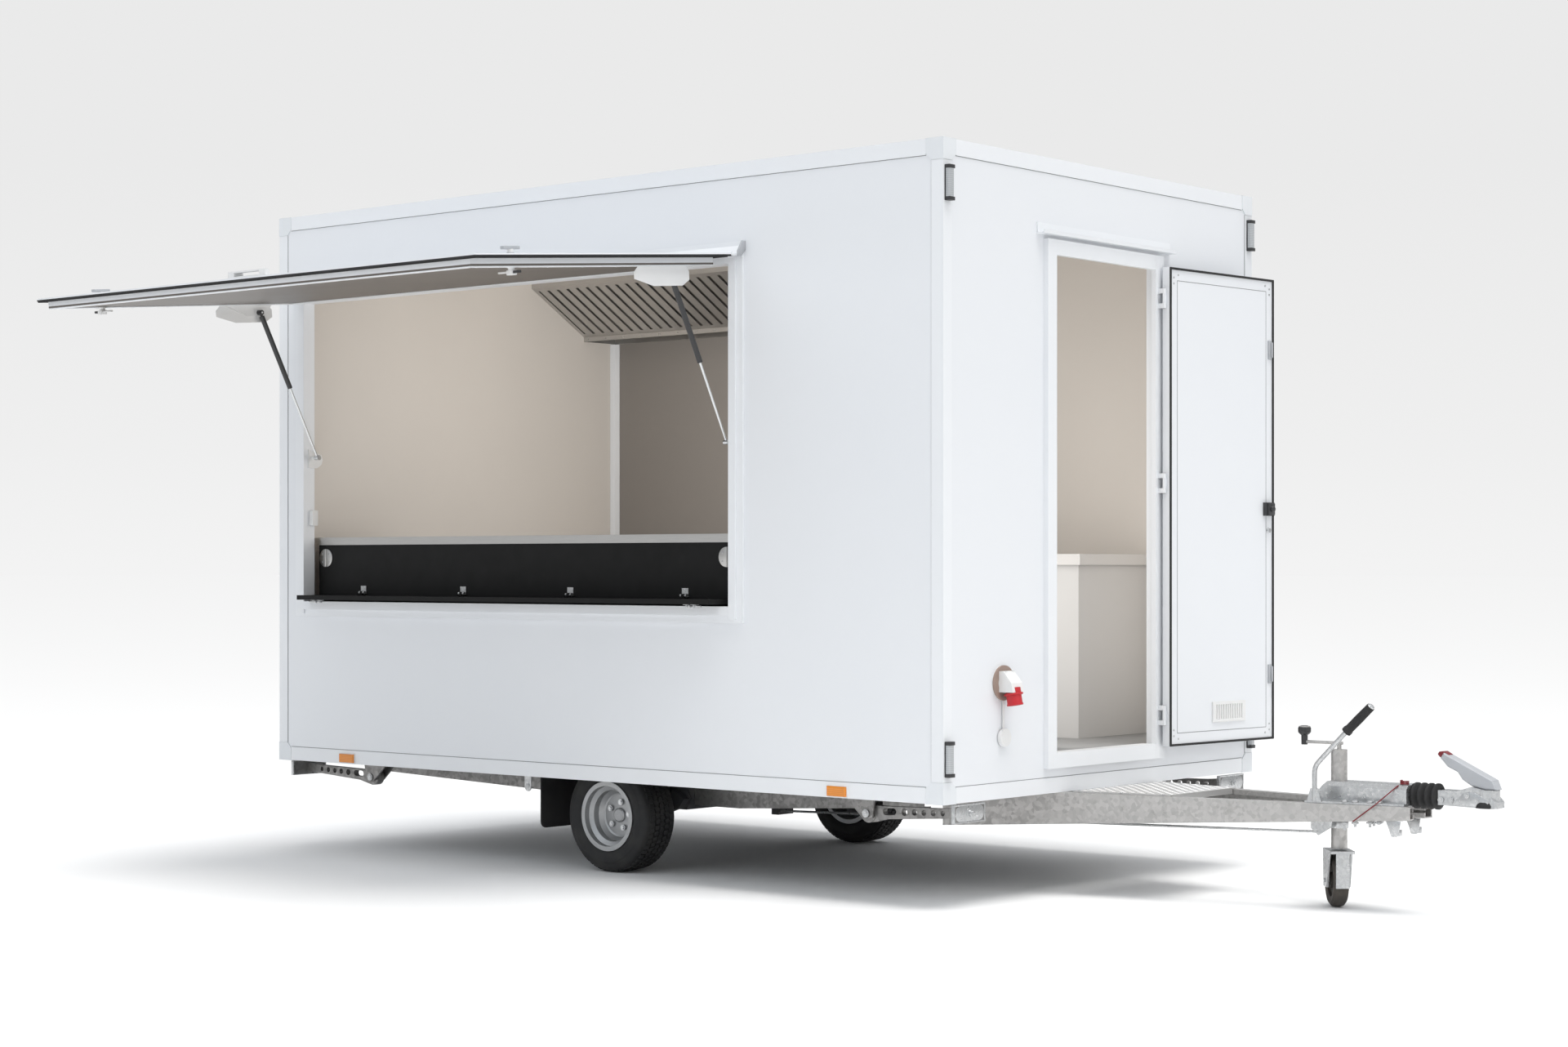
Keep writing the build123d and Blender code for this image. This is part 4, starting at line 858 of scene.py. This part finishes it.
def makeDrawbarTrim():
    z = coupling["z"]
    lip = Shape().lathe(coupling["lip"], (coupling["lipX"], 0, z - coupling["lipDown"]), (0, 0, 1), 40)
    lip.piece("noseLip", "black_rubber")
    outline = [(coupling["gripX"] + a, z + coupling["gripUp"] + b) for a, b in coupling["grip"]]
    tip = Shape().prism(outline, "y", -coupling["gripHalf"], coupling["gripHalf"])
    tip.piece("handleTip", "red_plastic", edge=3, look="dark_red")
    cheeks, spots = Shape(), []
    for way in (-1, 1):
        cheeks.prism([(x, z + up) for x, up in coupling["cheek"]], "y", *(way * y for y in coupling["cheekY"]))
        spots += [(x, way * y, z + up, (0, way, 0)) for x, y, up in coupling["bolts"]]
    cheeks.piece("headCheeks", "zinc_plated", edge=1)
    heads("headBolts", "zinc_plated", spots, radius=8, height=9)
    Shape().lathe(crank["knob"], crank["place"], (0, 0, 1)).piece("crankKnob", "strut_black")
    low, high = Vector(brake["low"]), Vector(brake["high"])
    Shape().lathe(brake["grip"], low, high - low).piece("brakeGrip", "black_rubber")
    Shape().lathe(brake["end"], high, high - low).piece("brakeGripEnd", "bright_rod")
    studs, hangers, spots = Shape(), Shape(), []
    for way in (-1, 1):
        for x, length in housing["studs"]:
            y, under = beamAt(x)
            studs.rod((x, way * y, under + 1), (x, way * y, under - length), housing["studR"])
            spots.append((x, way * y, under - housing["nutDown"], (0, 0, -1)))
            spots.append((x, way * y, drawbar["top"] + housing["nutUp"], (0, 0, 1)))
        y, under = beamAt(hanger["x"])
        inner = way * y - hanger["half"]
        outline = [(hanger["x"] + a, under + b) for a, b in hanger["plate"]]
        hangers.prism(outline, "y", inner, inner + hanger["thick"])
        hangers.boxes((hanger["x"], way * y, under), [hanger["eye"]])
    studs.piece("housingStuds", "zinc_plated")
    heads("housingNuts", "zinc_plated", spots, radius=9.5, height=11)
    hangers.piece("chainHangers", "zinc_plated", edge=1)
    collar = Shape().lathe(jackRing["profile"], jackRing["place"], (0, 0, 1), 36, True)
    collar.piece("jackCollar", "zinc_plated", edge=1)


cable = {"path": ((3047, -130, 340), (3129, -115, 404), (3188, -56, 472)), "r": 2.2, "sides": 10,
         "coil": (3206, -34, 478), "coilR": 15, "coilStart": 150, "turns": 3, "parts": 16, "rise": 0.3}


def makeCable():  # taut safety line with its small coil on the housing
    path = [Vector(p) for p in cable["path"]]
    middle, r = Vector(cable["coil"]), cable["coilR"]
    for i in range(cable["turns"] * cable["parts"] + 1):
        a = radians(cable["coilStart"]) - 2 * pi * i / cable["parts"]
        path.append(middle + Vector((r * cos(a), r * sin(a), i * cable["rise"])))
    turns = [2 * pi * k / cable["sides"] for k in range(cable["sides"])]
    rings = []
    for i, spot in enumerate(path):
        way = (path[min(i + 1, len(path) - 1)] - path[max(i - 1, 0)]).normalized()
        side = way.cross(Vector((0, 0, 1))).normalized()
        rise = side.cross(way)
        rings.append([spot + (side * cos(t) + rise * sin(t)) * cable["r"] for t in turns])
    Shape().solid(rings).piece("safetyLine", "red_plastic", look="dark_red")


def diamondTree(finish):
    tree = Tree("treadDiamonds", Length=0.012, Finish=finish)
    bead = tree.node("MeshUVSphere", Segments=8, Rings=5, Radius=tree.read("Length"))
    flat = tree.node("Transform", Geometry=bead, Scale=(1, 0.34, 0.2))
    return tree.close(tree.scatter(flat, tree.facing("X")))


step = {"x0": 1940, "x1": 2335, "top": 405, "pitch": 23, "endIn": 12, "ends": 20, "sideIn": 16,
        "screws": (1965, 2135, 2305), "screwIn": 4}


def makeStepTrim():
    points, facings, pitch = [], [], step["pitch"]
    rows = int((step["x1"] - step["x0"] - step["ends"]) / pitch)
    for i in range(rows + 1):
        x = step["x0"] + step["endIn"] + pitch * i
        reach = int((beamAt(x)[0] - step["sideIn"]) / pitch)
        for j in range(-reach, reach + 1):
            points.append(at(x, pitch * j, step["top"]))
            facings.append((1, 1, 0) if (i + j) % 2 else (1, -1, 0))
    made = diamondTree(materials["tread_crown"]).grow("stepDiamonds", points, facings)
    dress(made, "tread_aluminium", "trailer", "tread_crown")
    spots = [(x, way * (beamAt(x)[0] - step["screwIn"]), step["top"] + 1, (0, 0, 1))
             for x in step["screws"] for way in (-1, 1)]
    heads("stepScrews", "zinc_plated", spots, radius=5, height=3, sides=14)


lamps = {"x": 1899, "y": 1074, "heights": (2684, 566),
         "base": ((0, 6, -18, 18, -65, 65), (0, 24.5, -17, 17, 52, 66), (0, 24.5, -17, 17, -66, -52)),
         "markers": (1403, -1385), "markerHalf": 49, "markerY": (1099, 1104), "markerZ": (403, 447)}


def makeLampTrim():
    bases, backs, half = Shape(), Shape(), lamps["markerHalf"]
    for way in (-1, 1):
        for z in lamps["heights"]:
            bases.boxes((lamps["x"], way * lamps["y"], z), lamps["base"])
        for x in lamps["markers"]:
            backs.box(x - half, x + half, *(way * y for y in lamps["markerY"]), *lamps["markerZ"])
    bases.piece("lampBases", "strut_black", edge=1.5)
    backs.piece("markerBacks", "white_plastic", edge=1)


inlet = {"x": 1899.5, "y": -725, "z": 836, "ring": ((0, 66.6), (9, 66.6), (9, 38), (0, 38)),
         "lean": 10, "plug": (1946, 818), "collarAt": 20,  # the plug's x and z, and how far along it
         "collars": (((0, 36), (6, 36), (8, 33), (8, 29.3), (0, 29.3)), ((39, 31), (46, 31), (46, 29.3), (39, 29.3))),
         "screwX": 1930, "screwY": 22, "screwUp": 46}


def makeInletTrim():
    y, z, (plugX, plugZ) = inlet["y"], inlet["z"], inlet["plug"]
    ring = Shape().lathe(inlet["ring"], (inlet["x"], y, z), (1, 0, 0), 48, True)
    # the ring's colour is painted shade of the recess round the inlet
    ring.piece("inletRing", "white_plastic", edge=1, look="taupe")
    lean = radians(inlet["lean"])
    aim = Vector((sin(lean), 0, -cos(lean)))
    flange, start = Shape(), Vector((plugX, y, plugZ)) + aim * inlet["collarAt"]
    for profile in inlet["collars"]:
        flange.lathe(profile, start, aim, 40, True)
    flange.piece("inletFlange", "red_plastic")
    spots = [(inlet["screwX"], y + way * inlet["screwY"], z + inlet["screwUp"], (0, 0, 1)) for way in (-1, 1)]
    heads("inletScrews", "bright_rod", spots, radius=3.4, height=2, sides=14)


tab = {"x": -300, "z": 352, "r": 19, "top": 403, "y": (1052, 1056), "boltY": 1057, "boltZ": 356}
axle = {"x": 165, "y": 585, "z": 368, "boltX": 55, "boltY": 12}
steady = {"reach": 465, "y": 935, "z": 334, "pivotOut": 35, "nutX": 464, "nutUp": 26,
          "nut": ((0, 21), (3, 21), (3, 13), (12, 13), (12, 9), (20, 9)),
          "rimX": (451, 466), "rimHalf": 97, "rimZ": (-10, 60), "rim": 6,
          "soleX": (463, 465.5), "soleHalf": 60, "soleR": 29, "soleUp": 25}


def makeSteadyTrim(name, wx, wy):
    x = boxSize["front" if wx > 0 else "rear"] - wx * steady["reach"]
    y, z = wy * steady["y"], steady["z"]
    title, rider = name.title().replace("_", ""), "steady_" + name
    nut = Shape().lathe(steady["nut"], (x + wx * steady["nutX"], y, z + steady["nutUp"]), (wx, 0, 0))
    nut.piece("steadyNut" + title, "zinc_plated", rider, edge=0.8)
    outer = (y - steady["rimHalf"], y + steady["rimHalf"], *(z + up for up in steady["rimZ"]))
    rim = Shape().hoop(outer, steady["rim"], "x", *(x + wx * out for out in steady["rimX"]))
    rim.piece("steadyFootRim" + title, "zinc_plated", rider, edge=1)
    outline = [(y + way * (steady["soleHalf"] + a), z + steady["soleUp"] + way * b)
               for way in (1, -1) for a, b in arc(steady["soleR"], -90, 90, 15)]
    sole = Shape().prism(outline, "x", *(x + wx * out for out in steady["soleX"]))
    sole.piece("steadySole" + title, "zinc_plated", rider, edge=0.6)
    spots = [(x, y + way * steady["pivotOut"], z, (0, way, 0)) for way in (-1, 1)]
    heads("steadyPivot" + title, "zinc_plated", spots, radius=11, height=8)


def makeRunningTrim():
    tabs, spots = Shape(), []
    outline = [(tab["x"] + a, tab["z"] + b) for a, b in arc(tab["r"], 180, 360, 20)]
    outline += [(tab["x"] + tab["r"], tab["top"]), (tab["x"] - tab["r"], tab["top"])]
    for way in (-1, 1):
        tabs.prism(outline, "y", *(way * y for y in tab["y"]))
        spots.append((tab["x"], way * tab["boltY"], tab["boltZ"], (0, way, 0)))
        spots += [(axle["x"] + a * axle["boltX"], way * axle["y"] + b * axle["boltY"], axle["z"], (0, 0, -1))
                  for a in (-1, 1) for b in (-1, 1)]
    tabs.piece("wheelBoxTabs", "zinc_plated")
    heads("axleBolts", "zinc_plated", spots, radius=7, height=8)
    for end, wx in (("front", 1), ("rear", -1)):
        for side, wy in (("right", -1), ("left", 1)):
            makeSteadyTrim(end + "_" + side, wx, wy)


hood = {"x": -1775, "y": 829.4, "z": 2421, "pitch": 122, "rivets": 16}


def makeHoodTrim():
    spots = [(hood["x"] + hood["pitch"] * i, hood["y"], hood["z"], (0, -1, 0)) for i in range(hood["rivets"])]
    heads("hoodRivets", "bright_rod", spots, radius=3, height=2.4, sides=14)


for make in (makeFlapTrim, makeCounterTrim, makeRoomTrim, makeDoorTrim, makeWallJoints, makeWheelTrim,
             makeDrawbarTrim, makeCable, makeStepTrim, makeLampTrim, makeInletTrim, makeRunningTrim, makeHoodTrim):
    make()
